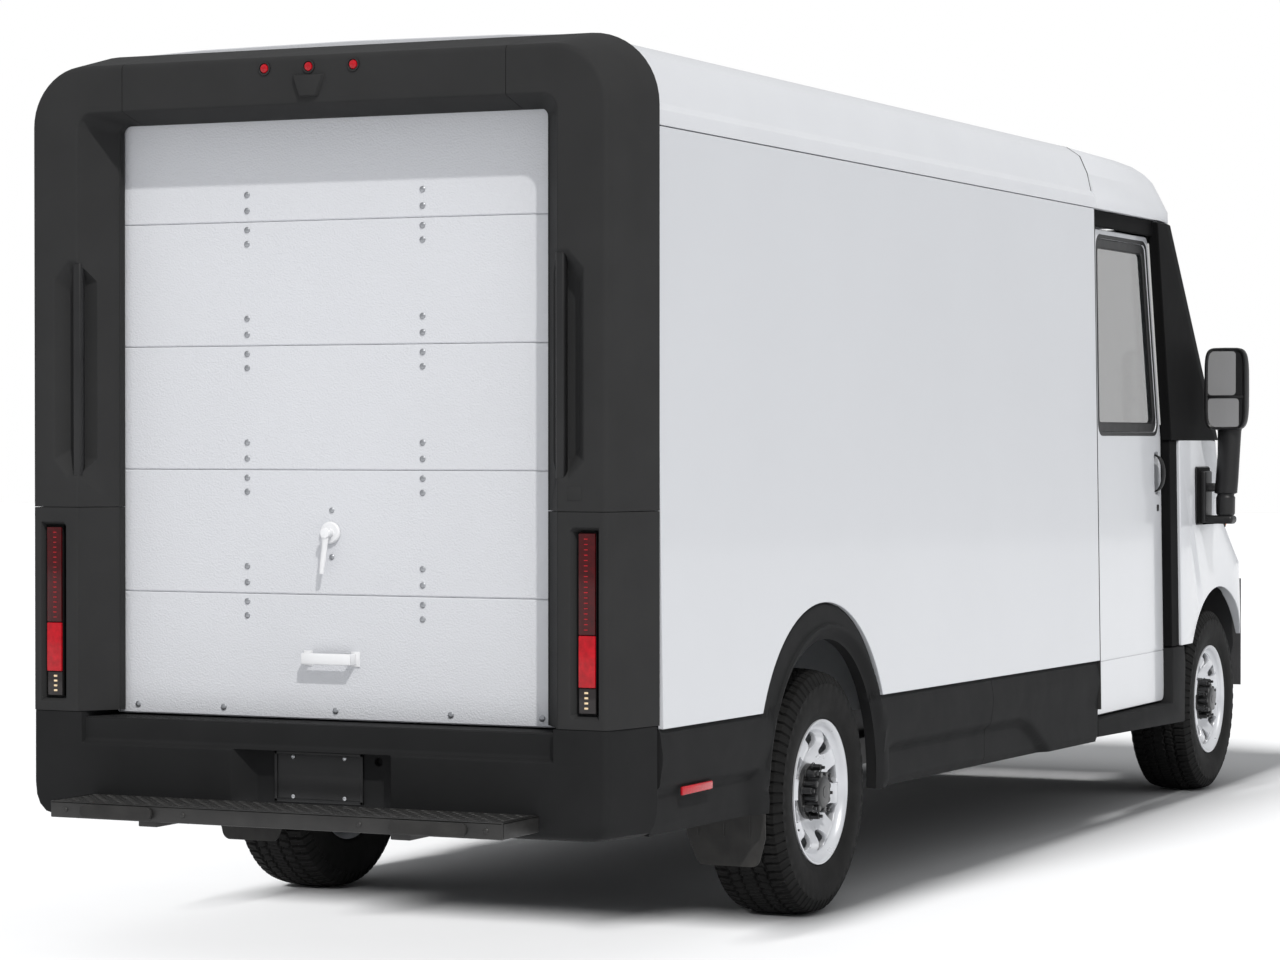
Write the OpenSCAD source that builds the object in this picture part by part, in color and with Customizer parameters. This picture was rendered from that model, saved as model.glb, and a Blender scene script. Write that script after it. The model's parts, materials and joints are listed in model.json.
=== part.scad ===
// Electric walk-in delivery truck with a roll-up rear door and sliding cab doors.
// Frame: +Z up from the ground, the front faces -Y, the kerb (right) side is -X, units are millimetres.

/* [Overall] */
// Width over the sill claddings
body_w = 2110; // [1950:10:2300]
// Length from the nose to the rear face of the surround
body_l = 7050; // [6700:10:7600]
// Height of the roof crown above the ground
roof_z = 2785; // [2700:5:3000]
// Distance between the front and rear axles
wheelbase = 4662; // [4500:2:4800]
// Distance from the rear axle back to the surround's rear face
rear_overhang = 1610; // [1450:10:1750]

/* [Cargo box] */
// Height of the cargo floor
floor_z = 706; // [680:2:760]
// Height of the drip groove between side panel and roof
drip_z = 2494; // [2400:2:2600]
// Lean of each side panel towards the roof, in degrees
side_lean = 0.89; // [0:0.01:2]
// Thickness of a side panel
panel_t = 20; // [12:1:26]
// Thickness of the roof shell
roof_t = 30; // [20:1:40]
// Length of the side opening behind the cab door's front post
side_open_l = 1055; // [900:5:1200]

/* [Rear door] */
// Height of one door section
section_h = 380; // [330:2:400]
// Number of door sections
section_n = 5; // [5:5]
// Width of the door sections
door_w = 1550; // [1400:5:1600]
// Thickness of a door section
door_t = 30; // [20:1:36]
// Depth of the door's outer face in front of the surround's rear face
door_inset = 150; // [130:1:170]
// Half of the clear width between the jambs
jamb_half = 742; // [680:1:760]

/* [Surround and bumper] */
// Slant of the surround's outer face over its depth
surround_flare = 53; // [20:1:70]
// Length of the surround along the truck
surround_l = 241; // [200:1:280]
// Corner radius of the surround seen from behind
surround_r = 200; // [120:5:260]
// Distance that the rear step stands out behind the surround
step_out = 250; // [200:5:300]
// Half of the rear step's width
step_half = 768; // [600:2:850]

/* [Cab] */
// Height of the belt line under the side glass
belt_z = 1560; // [1500:5:1620]
// Height of the top of the windscreen
screen_top_z = 2485; // [2400:5:2550]
// Plan radius of the cab's front corners at the glass
glass_r = 450; // [350:10:520]
// Plan radius of the cab's front corners at the nose
nose_r = 500; // [400:10:560]
// Thickness of a cab side door
cab_door_t = 36; // [26:1:40]
// Gap between the side panel and the cab door's outer face
door_gap = 30; // [26:1:36]
// Travel of a cab side door
cab_door_travel = 860; // [700:5:860]
// Radius of the steering wheel
steer_r = 200; // [170:5:230]

/* [Wheels] */
// Outer radius of a tyre
tyre_r = 405; // [370:1:420]
// Section width of a tyre
tyre_w = 276; // [220:2:290]
// Radius of the rim's flange
rim_r = 238; // [200:1:245]
// Distance from the truck's centre to a tyre's outer sidewall
wheel_out = 1020; // [980:2:1050]
// Radius of a wheel spindle
spindle_r = 40; // [30:1:48]
// Radial clearance between a spindle and its hub
spindle_gap = 1; // [0.5:0.5:3]
// Number of wheel bolts and of hand holes
lug_n = 8; // [6:10]

/* [Hidden] */
$fn = 48;

half_w = body_w / 2;
nose_y = -(body_l + step_out) / 2;
rear_y = nose_y + body_l;
rear_axle_y = rear_y - rear_overhang;
front_axle_y = rear_axle_y - wheelbase;
axle_z = tyre_r;
seam = 2;

// Side panels and cladding
sill_rear_z = 712;
sill_fall = 36;
sill_fall_l = 4300;
clad_t = 45;
clad_low_z = 370;
arch_y = 30;
arch_z = 430;
arch_r = 480;
flare_y = 78;
flare_z = 448;
flare_r = 585;
surround_y = rear_y - surround_l;
door_front_y = front_axle_y + 717;
cargo_front_y = door_front_y + side_open_l;
drip_half = half_w - (drip_z - sill_rear_z) * tan(side_lean);
panel_gap = 8;

// Surround
top_ridge_z = roof_z - 65;
face_half = half_w - surround_flare - 10;
face_in_half = jamb_half + 81;
jamb_out_half = jamb_half + 6;
reveal = 112;
head_z = 2570;
head_jamb_z = 2540;
pillar_seam_z = 1355;
bumper_top_z = 722;
header_half = 660;
door_face_y = rear_y - door_inset;
jamb_front_y = door_face_y + 7;
skin = 20;
lamp_x = 918;
lamp_w = 57;
lamp_z0 = 770;
lamp_z1 = 1293;
lamp_frame = 11;
pocket_x0 = 722;
pocket_x1 = 912;
pocket_z0 = 1450;
pocket_z1 = 2115;
pocket_depth = 55;
grab_x = 832;
grab_r = 11;

// Rear door
door_z0 = floor_z + 6;
door_gap_z = 0.6;
door_in_y = door_face_y - door_t;
fold_z = door_z0 + 3 * section_h;
fold_top_z = fold_z + section_h;
latch_x = 10;
latch_z = door_z0 + 1.5 * section_h;
bolt_x = 305;

// Bumper and step
bumper_low_z = 420;
threshold_t = 18;
band_low_z = 624;
tread_half = jamb_half + 68;
tread_back = 26;
pocket_x_left = 215;
pocket_x_right = -248;
step_z = 470;
step_t = 50;
dock_t = 14;
dock_x0 = 400;
dock_x1 = 660;
plate_x = 0;
plate_half = 153;
plate_z = 545;
plate_h = 154;
pocket_wall = 60;

// Cab
post_w = 115;
post_y = door_front_y - post_w;
cab_floor_z = 466;
cab_low_z = 676;
hub_out = wheel_out - 20;
king_x = 690;
king_r = 48;
glass_t = 6;
wall = 30;
wheel_in = wheel_out - tyre_w;
wheel_mid = wheel_out - tyre_w / 2;
front_arch_r = 522;
front_arch_z = 385;
liner_x = half_w - panel_t - door_gap - cab_door_t - 44;
bulk_y = cargo_front_y + 140;
seat_x = 450;
screen_base_y = nose_y + 380;
screen_top_y = nose_y + 1092;
screen_tilt = atan2(screen_top_y - screen_base_y, screen_top_z - belt_z);

// Heights and front positions of the nose, from the bumper's foot to the glass
nose_levels = [[320, nose_y + 90], [480, nose_y + 10], [cab_low_z, nose_y], [1000, nose_y + 12],
               [1100, nose_y + 150], [1200, nose_y + 280], [belt_z, screen_base_y]];

function sill_z(y) = sill_rear_z - sill_fall * (surround_y - y) / sill_fall_l;
function clad_bottom(y) = clad_low_z + 25 * (y - rear_axle_y + 1000) / 2400;
function half_at(z) = half_w - (z - sill_rear_z) * tan(side_lean);

// ---------- Helpers ----------
module box(a, b) {
    translate(a) cube(b - a);
}

module yz(x0, x1) {
    translate([x0, 0, 0]) rotate([90, 0, 90]) linear_extrude(x1 - x0) children();
}

module xz(y0, y1) {
    translate([0, y1, 0]) rotate([90, 0, 0]) linear_extrude(y1 - y0) children();
}

module cyl_x(x0, x1, y, z, r) {
    translate([x0, y, z]) rotate([0, 90, 0]) cylinder(h = x1 - x0, r = r);
}

module cyl_y(y0, y1, x, z, r) {
    translate([x, y1, z]) rotate([90, 0, 0]) cylinder(h = y1 - y0, r = r);
}

module left_of() {
    mirror([1, 0, 0]) children();
}

module both() {
    children();
    left_of() children();
}

// Leans what stands on the right sill line in towards the roof
module leaned() {
    translate([-half_w, 0, sill_rear_z]) rotate([0, side_lean, 0])
        translate([half_w, 0, -sill_rear_z]) children();
}

// ---------- Frame and running gear ----------
rail_x0 = 395;
rail_x1 = 465;
module rail_outline() {
    front = nose_y + 330;
    polygon([[front, 430], [front_axle_y + 380, 430], [front_axle_y + 480, 330], [rear_axle_y - 800, 330],
             [rear_axle_y - 480, 555], [rear_y - 120, 555], [rear_y - 120, 640], [rear_axle_y - 530, 640],
             [rear_axle_y - 850, 430], [front_axle_y + 525, 430], [front_axle_y + 430, 530], [front, 530]]);
}

module lower_arm() {
    box([-king_x - 5, front_axle_y - 45, 262], [-rail_x0, front_axle_y + 45, 294]);
    box([-rail_x1, front_axle_y - 80, 262], [-rail_x0, front_axle_y + 80, 432]);
}

module chassis_frame() {
    color("#1d1e1f") {
        both() yz(-rail_x1, -rail_x0) rail_outline();
        both() lower_arm();
        for (y = [nose_y + 400, front_axle_y - 330, front_axle_y + 300])
            box([-rail_x0 - 5, y - 35, 440], [rail_x0 + 5, y + 35, 520]);
        for (y = [rear_axle_y - 420, rear_axle_y + 520, rear_y - 200])
            box([-rail_x0 - 5, y - 35, 565], [rail_x0 + 5, y + 35, 635]);
    }
}

module battery_pack() {
    pack_half = rail_x0 - 2;
    color("#3a3c3e") {
        box([-pack_half, front_axle_y + 760, 335], [pack_half, rear_axle_y - 860, 428]);
        box([-pack_half, cargo_front_y + 200, 428], [pack_half, rear_axle_y - 860, floor_z - 66]);
    }
}

module leaf_spring() {
    yz(-575, -505) polygon([[-640, 530], [-600, 530], [-380, 412], [0, 350], [380, 412], [600, 530],
                            [640, 530], [400, 385], [0, 318], [-400, 385]]);
}

module rear_axle() {
    color("#202122") translate([0, rear_axle_y, 0]) {
        cyl_x(-wheel_in + 8, wheel_in - 8, 0, axle_z, 52);
        cyl_x(-hub_out + 90, hub_out - 90, 0, axle_z, spindle_r);
        both() cyl_x(-wheel_in - 22, -wheel_in + 8, 0, axle_z, 168);
        box([-190, -250, 270], [190, 210, 540]);
        cyl_x(-250, 250, -20, axle_z, 120);
        both() leaf_spring();
    }
}

// The rim stays inside a small tyre
flange_r = min(rim_r, tyre_r - 125);

module tyre() {
    w = tyre_w / 2;
    outer = [[flange_r - 4, -w + 24], [flange_r + 14, -w + 16], [tyre_r - 95, -w], [tyre_r - 22, -w + 18],
             [tyre_r - 6, -w + 34], [tyre_r, -w + 62], [tyre_r, w - 62], [tyre_r - 6, w - 34],
             [tyre_r - 22, w - 18], [tyre_r - 95, w], [flange_r + 14, w - 16], [flange_r - 4, w - 24]];
    inner = [[flange_r - 4, w - 38], [flange_r + 14, w - 32], [tyre_r - 95, w - 12], [tyre_r - 30, w - 34],
             [tyre_r - 18, w - 66], [tyre_r - 18, -w + 66], [tyre_r - 30, -w + 34], [tyre_r - 95, -w + 12],
             [flange_r + 14, -w + 32], [flange_r - 4, -w + 38]];
    rotate([0, -90, 0]) rotate_extrude($fn = 96) polygon(concat(outer, inner));
}

// One wheel with its outer side towards -X, centred on the axle and on the tyre's middle
module rim() {
    w = tyre_w / 2;
    bore = spindle_r + spindle_gap;
    difference() {
        rotate([0, -90, 0]) rotate_extrude($fn = 96)
            polygon([[bore + 40, w - 62], [bore + 40, w - 78], [flange_r - 95, w - 78], [flange_r - 60, w - 42],
                     [flange_r - 35, w - 48], [flange_r - 24, w - 74], [flange_r - 24, -w + 34], [flange_r - 6, -w + 23.5],
                     [flange_r - 6, -w + 38], [flange_r - 14, -w + 48], [flange_r - 14, w - 48],
                     [flange_r - 6, w - 38], [flange_r - 6, w - 20], [flange_r + 2, w - 14],
                     [flange_r - 10, w - 10], [flange_r - 34, w - 32], [flange_r - 62, w - 26], [flange_r - 98, w - 62]]);
        for (i = [0:lug_n - 1])
            rotate([(i + 0.5) * 360 / lug_n, 0, 0]) translate([0, 0, flange_r - 62])
                cyl_x(-w, -w + 120, 0, 0, 22);
    }
}

module hub() {
    w = tyre_w / 2;
    bore = spindle_r + spindle_gap;
    nut_ring = 86;
    rotate([0, -90, 0]) rotate_extrude() polygon([[bore, -w + 34], [98, -w + 34], [98, -w + 60],
        [80, -w + 60], [80, w - 62], [104, w - 62], [104, w - 48], [64, w - 48], [58, w + 2],
        [0, w + 6], [0, w - 8], [bore, w - 8]]);
    for (i = [0:lug_n - 1])
        rotate([i * 360 / lug_n, 0, 0]) cyl_x(-w - 4, -w + 50, 0, nut_ring, 15);
}

module wheel_at(y, x_sign) {
    if (x_sign < 0) translate([-wheel_mid, y, axle_z]) children();
    else left_of() translate([-wheel_mid, y, axle_z]) children();
}

module rim_and_hub() {
    color("#c9cacc") rim();
    color("#17181a") hub();
}

module knuckle() {
    color("#2b2c2e") {
        translate([-king_x, front_axle_y, 300]) cylinder(h = 210, r = king_r);
        translate([0, front_axle_y, 0]) {
            cyl_x(-wheel_in + 4, -king_x, 0, axle_z, 70);
            cyl_x(-wheel_in - 22, -wheel_in + 6, 0, axle_z, 168);
            cyl_x(-hub_out + 90, -wheel_in + 4, 0, axle_z, spindle_r);
        }
    }
}

// ---------- Cargo box ----------
well_r = arch_r - 15;
well_top = arch_z + arch_r + 10;
floor_half = half_w - clad_t - 2;
rebate = 4;
module wheel_well() {
    difference() {
        box([-floor_half, rear_axle_y - well_r - 5, floor_z - 64],
            [-wheel_in + 45, rear_axle_y + well_r + 5, well_top + 5]);
        box([-half_w, rear_axle_y - well_r, 0], [-wheel_in + 40, rear_axle_y + well_r, well_top]);
    }
}

module cargo_floor() {
    color("#8f9294") {
        difference() {
            union() {
                box([-floor_half, bulk_y, floor_z - 64], [floor_half, door_in_y - 12, floor_z]);
                both() box([-liner_x - 10, bulk_y + 20, floor_z - 1], [-liner_x, surround_y - 100, drip_z - 5]);
            }
            both() box([-half_w, rear_axle_y - well_r, 0], [-wheel_in + 40, rear_axle_y + well_r, well_top]);
            both() box([-half_w, bulk_y - 1, 0], [-liner_x - 12, cargo_front_y + cab_door_travel + 60, floor_z + 1]);
            box([-floor_half - 1, bulk_y - 1, floor_z - rebate], [floor_half + 1, bulk_y + 30, floor_z + 0.5]);
        }
        both() wheel_well();
    }
}

module side_outline() {
    difference() {
        polygon([[cargo_front_y, sill_z(cargo_front_y)], [surround_y - panel_gap, sill_z(surround_y)],
                 [surround_y - panel_gap, drip_z - 3], [cargo_front_y, drip_z - 3]]);
        translate([rear_axle_y + flare_y, flare_z]) circle(flare_r, $fn = 96);
    }
}

module side_panel() {
    color("#e4e6ea") leaned() yz(-half_w, -half_w + panel_t) side_outline();
}

// Roof section from the drip line up; off thins it towards the inside
function roof_half(off) = [[drip_half - off, drip_z], [drip_half - 2 - off, drip_z + 46],
    [drip_half - 22 - off, drip_z + 69], [drip_half - 38 - off, drip_z + 140],
    [drip_half - 70 - off, roof_z - 80 - off / 2], [drip_half - 125 - off / 2, roof_z - 42 - off],
    [drip_half - 225, roof_z - 17 - off], [drip_half - 500, roof_z - 5 - off], [0, roof_z - off]];

module roof_section(off) {
    right = roof_half(off);
    n = len(right);
    polygon(concat([for (p = right) [-p[0], p[1]]], [for (i = [n - 2:-1:0]) right[i]]));
}

roof_joint_y = cargo_front_y - 30;
module roof_panel() {
    color("#eceef1") {
        difference() {
            xz(roof_joint_y + seam, surround_y - panel_gap) roof_section(0);
            xz(roof_joint_y - 10, surround_y) translate([0, -1]) roof_section(roof_t);
        }
        both() box([-liner_x, cargo_front_y + 180, drip_z - 60], [-liner_x + 30, surround_y - 60, drip_z + 20]);
        for (y = [cargo_front_y + 640:700:surround_y - 750])
            box([-liner_x + 8, y, drip_z - 20], [-liner_x + 30, y + 40, roof_z - 120]);
    }
}

// Slices of the cab roof: distance from the joint, half width, height of the crown
module cap_slice(y, hw, top) {
    h = top - drip_z;
    right = [[hw, 0], [hw - 2, min(46, h)], [hw - 38, 0.48 * h], [hw - 70, 0.725 * h], [hw - 125, 0.856 * h],
             [hw - 225, 0.94 * h], [0.45 * hw, 0.98 * h], [0, h]];
    translate([0, y, drip_z]) xz(-1, 0)
        polygon(concat([for (p = right) [-p[0], p[1]]], [for (i = [len(right) - 2:-1:0]) right[i]]));
}

module cap_solid(off) {
    hull() {
        translate([0, roof_joint_y, 0]) xz(-1, 0) roof_section(off);
        cap_slice(cargo_front_y - 340, drip_half - 4 - off, roof_z - 2 - off);
        cap_slice(cargo_front_y - 700, drip_half - 6 - off, roof_z - 9 - off);
        cap_slice(screen_top_y + 498, drip_half - 10 - off, roof_z - 20 - off);
        cap_slice(screen_top_y + 298 + off / 2, drip_half - 35 - off, roof_z - 48 - off);
        cap_slice(screen_top_y + 158 + off, drip_half - 85 - off, roof_z - 85 - off);
        cap_slice(screen_top_y + 58 + off, drip_half - 190 - off, roof_z - 130 - off);
        cap_slice(screen_top_y + 3 + off, drip_half - 420 - off, roof_z - 175 - off);
        cap_slice(screen_top_y - 8 + off, drip_half - 500 - off, drip_z + 24);
    }
}

module roof_cap() {
    color("#eceef1") difference() {
        cap_solid(0);
        translate([0, 2, -1]) cap_solid(roof_t);
    }
}

// ---------- Rear surround ----------
module surround_outline(hw, top, r) {
    union() {
        translate([-hw, bumper_top_z]) square([2 * hw, top - r - bumper_top_z]);
        translate([-hw + r, bumper_top_z]) square([2 * (hw - r), top - bumper_top_z]);
        translate([-hw + r, top - r]) circle(r);
        translate([hw - r, top - r]) circle(r);
    }
}

module surround_solid() {
    difference() {
        hull() {
            xz(rear_y - 1, rear_y) surround_outline(face_half, top_ridge_z, surround_r - 15);
            xz(surround_y, surround_y + 1) surround_outline(half_w - 10, roof_z - 15, surround_r + 20);
        }
        hull() {
            xz(rear_y, rear_y + 1) translate([-face_in_half, 0]) square([2 * face_in_half, head_z]);
            xz(rear_y - reveal, rear_y - reveal + 1)
                translate([-jamb_out_half, 0]) square([2 * jamb_out_half, head_jamb_z]);
        }
        box([-jamb_half, surround_y - 5, 0], [jamb_half, rear_y - reveal + 2, head_jamb_z]);
        box([-half_w + 60, surround_y - 5, 0], [half_w - 60, jamb_front_y, drip_z]);
        box([-half_w + 140, surround_y - 5, 0], [half_w - 140, jamb_front_y, roof_z - 60]);
    }
}

module rear_header() {
    color("#2f3032") intersection() {
        surround_solid();
        box([-header_half, surround_y - 1, head_jamb_z - 60], [header_half, rear_y + 1, roof_z + 1]);
    }
    color("#2f3032") xz(rear_y, rear_y + 14)
        polygon([[-31, head_z + 20], [31, head_z + 20], [57, head_z + 80], [-57, head_z + 80]]);
}

module grab_pocket() {
    yz(-pocket_x1, -pocket_x0) polygon([[rear_y - pocket_depth, pocket_z0 + 40], [rear_y + 5, pocket_z0],
        [rear_y + 5, pocket_z1], [rear_y - pocket_depth, pocket_z1 - 40]]);
}

module lamp_slot() {
    box([-lamp_x - lamp_w / 2 - lamp_frame, rear_y - 30, lamp_z0 - 20],
        [-lamp_x + lamp_w / 2 + lamp_frame + 14, rear_y + 5, lamp_z1 + 18]);
}

module rear_pillars() {
    color("#2f3032") both() {
        difference() {
            intersection() {
                surround_solid();
                box([-half_w, surround_y - 1, pillar_seam_z + seam], [-header_half - seam, rear_y + 1, roof_z + 1]);
            }
            grab_pocket();
        }
        difference() {
            intersection() {
                surround_solid();
                box([-half_w, surround_y - 1, bumper_top_z + seam], [-header_half - seam, rear_y + 1, pillar_seam_z]);
            }
            lamp_slot();
        }
    }
}

module grab_bars() {
    color("#101112") both() {
        translate([-grab_x, rear_y - 22, pocket_z0 + 45]) cylinder(h = pocket_z1 - pocket_z0 - 90, r = grab_r);
        for (z = [pocket_z0 + 60, pocket_z1 - 60])
            cyl_y(rear_y - pocket_depth, rear_y - 22, -grab_x, z, grab_r);
    }
}

module tail_lights() {
    color("#7a0a12") both() box([-lamp_x - lamp_w / 2, rear_y - 30, lamp_z0], [-lamp_x + lamp_w / 2, rear_y - 6, lamp_z1]);
}

marker_z = head_z + 113;
marker_gap = 153;
module side_marker(grow, out) {
    box([-half_w + out, rear_y - 630 - grow, 502 - grow], [-half_w + 6 + grow, rear_y - 400 + grow, 530 + grow]);
}

module marker_lights() {
    color("#a01018") {
        for (x = [-marker_gap, 0, marker_gap]) cyl_y(rear_y, rear_y + 9, x, marker_z, 17);
        both() side_marker(0, 1);
    }
}

module door_tracks() {
    track_x = door_w / 2 + 6;
    color("#b9bcc0") both() {
        box([-track_x - 40, door_in_y - 20, bumper_top_z + 2], [-track_x, door_in_y + door_t - 2, head_jamb_z + 30]);
        box([-track_x - 40, door_in_y - 900, head_jamb_z - 26], [-track_x, door_in_y - 20, head_jamb_z + 30]);
    }
}

// ---------- Rear door ----------
module door_section(k) {
    z0 = door_z0 + (k - 1) * section_h + (k > 1 ? door_gap_z : 0);
    z1 = door_z0 + k * section_h - door_gap_z;
    color("#e9eaec") box([-door_w / 2, door_in_y, z0], [door_w / 2, door_face_y, z1]);
}

module lower_door_sections() {
    for (k = [1:3]) door_section(k);
}

module hinge_bolts(z_list) {
    for (x = [-bolt_x, bolt_x])
        for (z = z_list) cyl_y(door_face_y, door_face_y + 5, x, z, 8);
}

module door_hardware() {
    low = door_z0 + section_h;
    color("#dfe1e3") {
        for (s = [low, low + section_h]) hinge_bolts([s - 67, s - 24, s + 35, s + 84]);
        hinge_bolts([fold_z - 67, fold_z - 24]);
        for (x = [-705, -400, -5, 390, 700]) cyl_y(door_face_y, door_face_y + 5, x, door_z0 + 28, 8);
        for (z = [latch_z - 74, latch_z + 68]) cyl_y(door_face_y, door_face_y + 5, latch_x - 2, z, 8);
        difference() {
            box([-90, door_face_y, door_z0 + 168], [105, door_face_y + 42, door_z0 + 206]);
            box([-58, door_face_y + 5, door_z0 + 160], [73, door_face_y + 34, door_z0 + 220]);
        }
    }
}

module latch_handle() {
    color("#e6e7e9") {
        cyl_y(door_face_y + 0.4, door_face_y + 14, latch_x, latch_z, 34);
        cyl_y(door_face_y + 14, door_face_y + 40, latch_x, latch_z, 14);
        translate([latch_x, 0, latch_z]) rotate([0, -8, 0])
            box([-9, door_face_y + 32, -125], [9, door_face_y + 44, 12]);
    }
}

// ---------- Rear bumper and step ----------
module bumper_shell() {
    difference() {
        hull() {
            box([-half_w + 12, surround_y, bumper_low_z + 60], [half_w - 12, rear_y - 60, bumper_top_z]);
            box([-half_w + 90, surround_y, bumper_low_z], [half_w - 90, rear_y - 40, bumper_low_z + 1]);
            box([-face_half, rear_y - 20, bumper_low_z + 60], [face_half, rear_y, bumper_top_z]);
            box([-face_half + 80, rear_y - 20, bumper_low_z], [face_half - 80, rear_y - 4, bumper_low_z + 1]);
        }
        box([-floor_half - 1, surround_y - 1, 0], [floor_half + 1, door_in_y - 5, bumper_top_z + 1]);
        box([-floor_half - 1, door_in_y - 6, 0],
            [floor_half + 1, rear_y - pocket_wall - 24, floor_z - threshold_t]);
        box([-door_w / 2 - 50, surround_y - 1, floor_z], [door_w / 2 + 50, door_face_y + 2, bumper_top_z + 1]);
        box([-tread_half, door_face_y, floor_z], [tread_half, rear_y + 1, bumper_top_z + 1]);
    }
}

module rear_bumper() {
    color("#2b2c2e") difference() {
        bumper_shell();
        yz(-tread_half, tread_half) polygon([[rear_y - tread_back, band_low_z + 14], [rear_y + 1, band_low_z],
            [rear_y + 1, bumper_top_z + 1], [rear_y - tread_back, bumper_top_z + 1]]);
        translate([0, 0, bumper_low_z - 1]) linear_extrude(band_low_z + 2 - bumper_low_z)
            polygon([[pocket_x_left, rear_y - pocket_wall], [pocket_x_left + 73, rear_y + 1],
                     [pocket_x_right - 32, rear_y + 1], [pocket_x_right, rear_y - pocket_wall]]);
        cyl_y(rear_y - pocket_wall - 12, rear_y, pocket_x_right + 28, plate_z + 50, 14);
    }
}

module plate_holder() {
    x0 = plate_x - plate_half;
    x1 = plate_x + plate_half;
    y0 = rear_y - pocket_wall;
    color("#1b1c1d") difference() {
        box([x0, y0, plate_z - plate_h / 2], [x1, y0 + 8, plate_z + plate_h / 2]);
        for (x = [plate_x - 89, plate_x + 89])
            for (z = [plate_z - 60, plate_z + 60]) cyl_y(y0 - 1, y0 + 9, x, z, 3.5);
    }
}

module rear_step() {
    y0 = rear_y + 1;
    y1 = rear_y + step_out;
    lip_y = y1 - dock_t;
    under = step_z - step_t;
    color("#1d1e1f") {
        box([-step_half, y0, step_z - 8], [step_half, lip_y, step_z]);
        box([-step_half, lip_y - 10, under], [step_half, lip_y, step_z - 7]);
        both() box([-step_half, y0, under], [-step_half + 8, lip_y - 9, step_z - 7]);
        both() yz(-rail_x1, -rail_x0) polygon([[rear_y - 200, 555], [rear_y - 122, 555], [rear_y - 122, under - 1],
            [y0, under - 1], [y0 + 30, step_z - 7], [lip_y - 9, step_z - 7], [lip_y - 9, under - 20], [rear_y - 200, under - 20]]);
    }
}

module dock_bumpers() {
    y1 = rear_y + step_out;
    color("#141515") both() difference() {
        union() {
            box([-dock_x1 + 20, y1 - dock_t + 0.2, step_z - step_t + 4], [-dock_x0 - 20, y1, step_z - 4]);
            for (x = [-dock_x1 + 20, -dock_x0 - 20])
                cyl_y(y1 - dock_t + 0.2, y1, x, step_z - step_t / 2, step_t / 2 - 4);
        }
        for (x = [-dock_x1 + 22, -dock_x0 - 22]) cyl_y(y1 - 5, y1 + 1, x, step_z - step_t / 2, 9);
    }
}

// ---------- Claddings ----------
module rear_clad_outline() {
    difference() {
        union() {
            polygon([[cargo_front_y, clad_bottom(cargo_front_y)], [surround_y, clad_bottom(surround_y) + 5],
                     [surround_y, sill_z(surround_y) - 2], [cargo_front_y, sill_z(cargo_front_y) - 2]]);
            translate([rear_axle_y + flare_y, flare_z]) circle(flare_r - 2, $fn = 96);
        }
        translate([rear_axle_y + arch_y, arch_z]) circle(arch_r, $fn = 96);
        translate([rear_axle_y - 700, -200]) square([1400, 200 + clad_bottom(rear_axle_y)]);
        translate([rear_axle_y - arch_r + arch_y, 0]) square([2 * arch_r, arch_z]);
    }
}

module step_outline() {
    polygon([[post_y - 90, 340], [cargo_front_y, clad_bottom(cargo_front_y)], [cargo_front_y, 438],
             [door_front_y, 438], [door_front_y - 10, cab_low_z - 2], [post_y - 62, cab_low_z - 2]]);
}

module sill_claddings() {
    color("#2f3032") both() {
        difference() {
            yz(-half_w, -half_w + clad_t) rear_clad_outline();
            side_marker(3, -1);
        }
        difference() {
            yz(-half_w + 4, -half_w + 100) step_outline();
            cyl_x(-half_w, -half_w + 101, front_axle_y, front_arch_z, front_arch_r);
            wheelhouse_space(1);
        }
    }
}

module mud_flaps() {
    y0 = rear_axle_y + tyre_r + 70;
    color("#1a1b1c") both() {
        box([-half_w + 50, y0, 200], [-wheel_in + 10, y0 + 8, floor_z - 70]);
    }
}

// ---------- Cab shell ----------
module plan(hw, front, r, back) {
    union() {
        translate([-hw, front + r]) square([2 * hw, back - front - r]);
        translate([-hw + r, front]) square([2 * (hw - r), back - front]);
        translate([-hw + r, front + r]) circle(r);
        translate([hw - r, front + r]) circle(r);
    }
}

module plan_slab(z, hw, front, r, back) {
    translate([0, 0, z]) linear_extrude(0.5) plan(hw, front, r, back);
}

module nose_solid(first, last) {
    for (i = [first:last - 1]) {
        low = nose_levels[i];
        high = nose_levels[i + 1];
        hull() {
            plan_slab(low[0], i < 2 ? half_w - 4 : min(half_w, half_at(low[0])), low[1], nose_r, post_y);
            plan_slab(high[0] - 0.5, half_at(high[0]), high[1], nose_r, post_y);
        }
    }
}

module glass_house(off) {
    hull() {
        plan_slab(belt_z, half_at(belt_z) - off, screen_base_y + 1.25 * off, glass_r, cargo_front_y);
        plan_slab(screen_top_z - 0.5, half_at(screen_top_z) - off, screen_top_y + 1.25 * off, glass_r, cargo_front_y);
    }
}

module screen_cut(grow) {
    box([-860 - grow, nose_y, belt_z + 70 - grow], [860 + grow, screen_top_y + 330, screen_top_z - 60 + grow]);
}

module front_arch() {
    cyl_x(-half_w - 20, -rail_x1 - 20, front_axle_y, front_arch_z, front_arch_r);
    box([-half_w - 20, front_axle_y - front_arch_r, 0], [-rail_x1 - 20, front_axle_y + front_arch_r, front_arch_z]);
}

hood_half = 560;
hood_z0 = 1215;
hood_z1 = belt_z - 22;
module hood_cut(gap) {
    box([-hood_half - gap, nose_y, hood_z0 - gap], [hood_half + gap, screen_base_y + 200, hood_z1 + gap]);
}

module nose_cavity(z0, z1, front) {
    translate([0, 0, z0]) linear_extrude(z1 - z0) plan(half_w - wall - 12, front, nose_r, post_y + 1);
}

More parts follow.
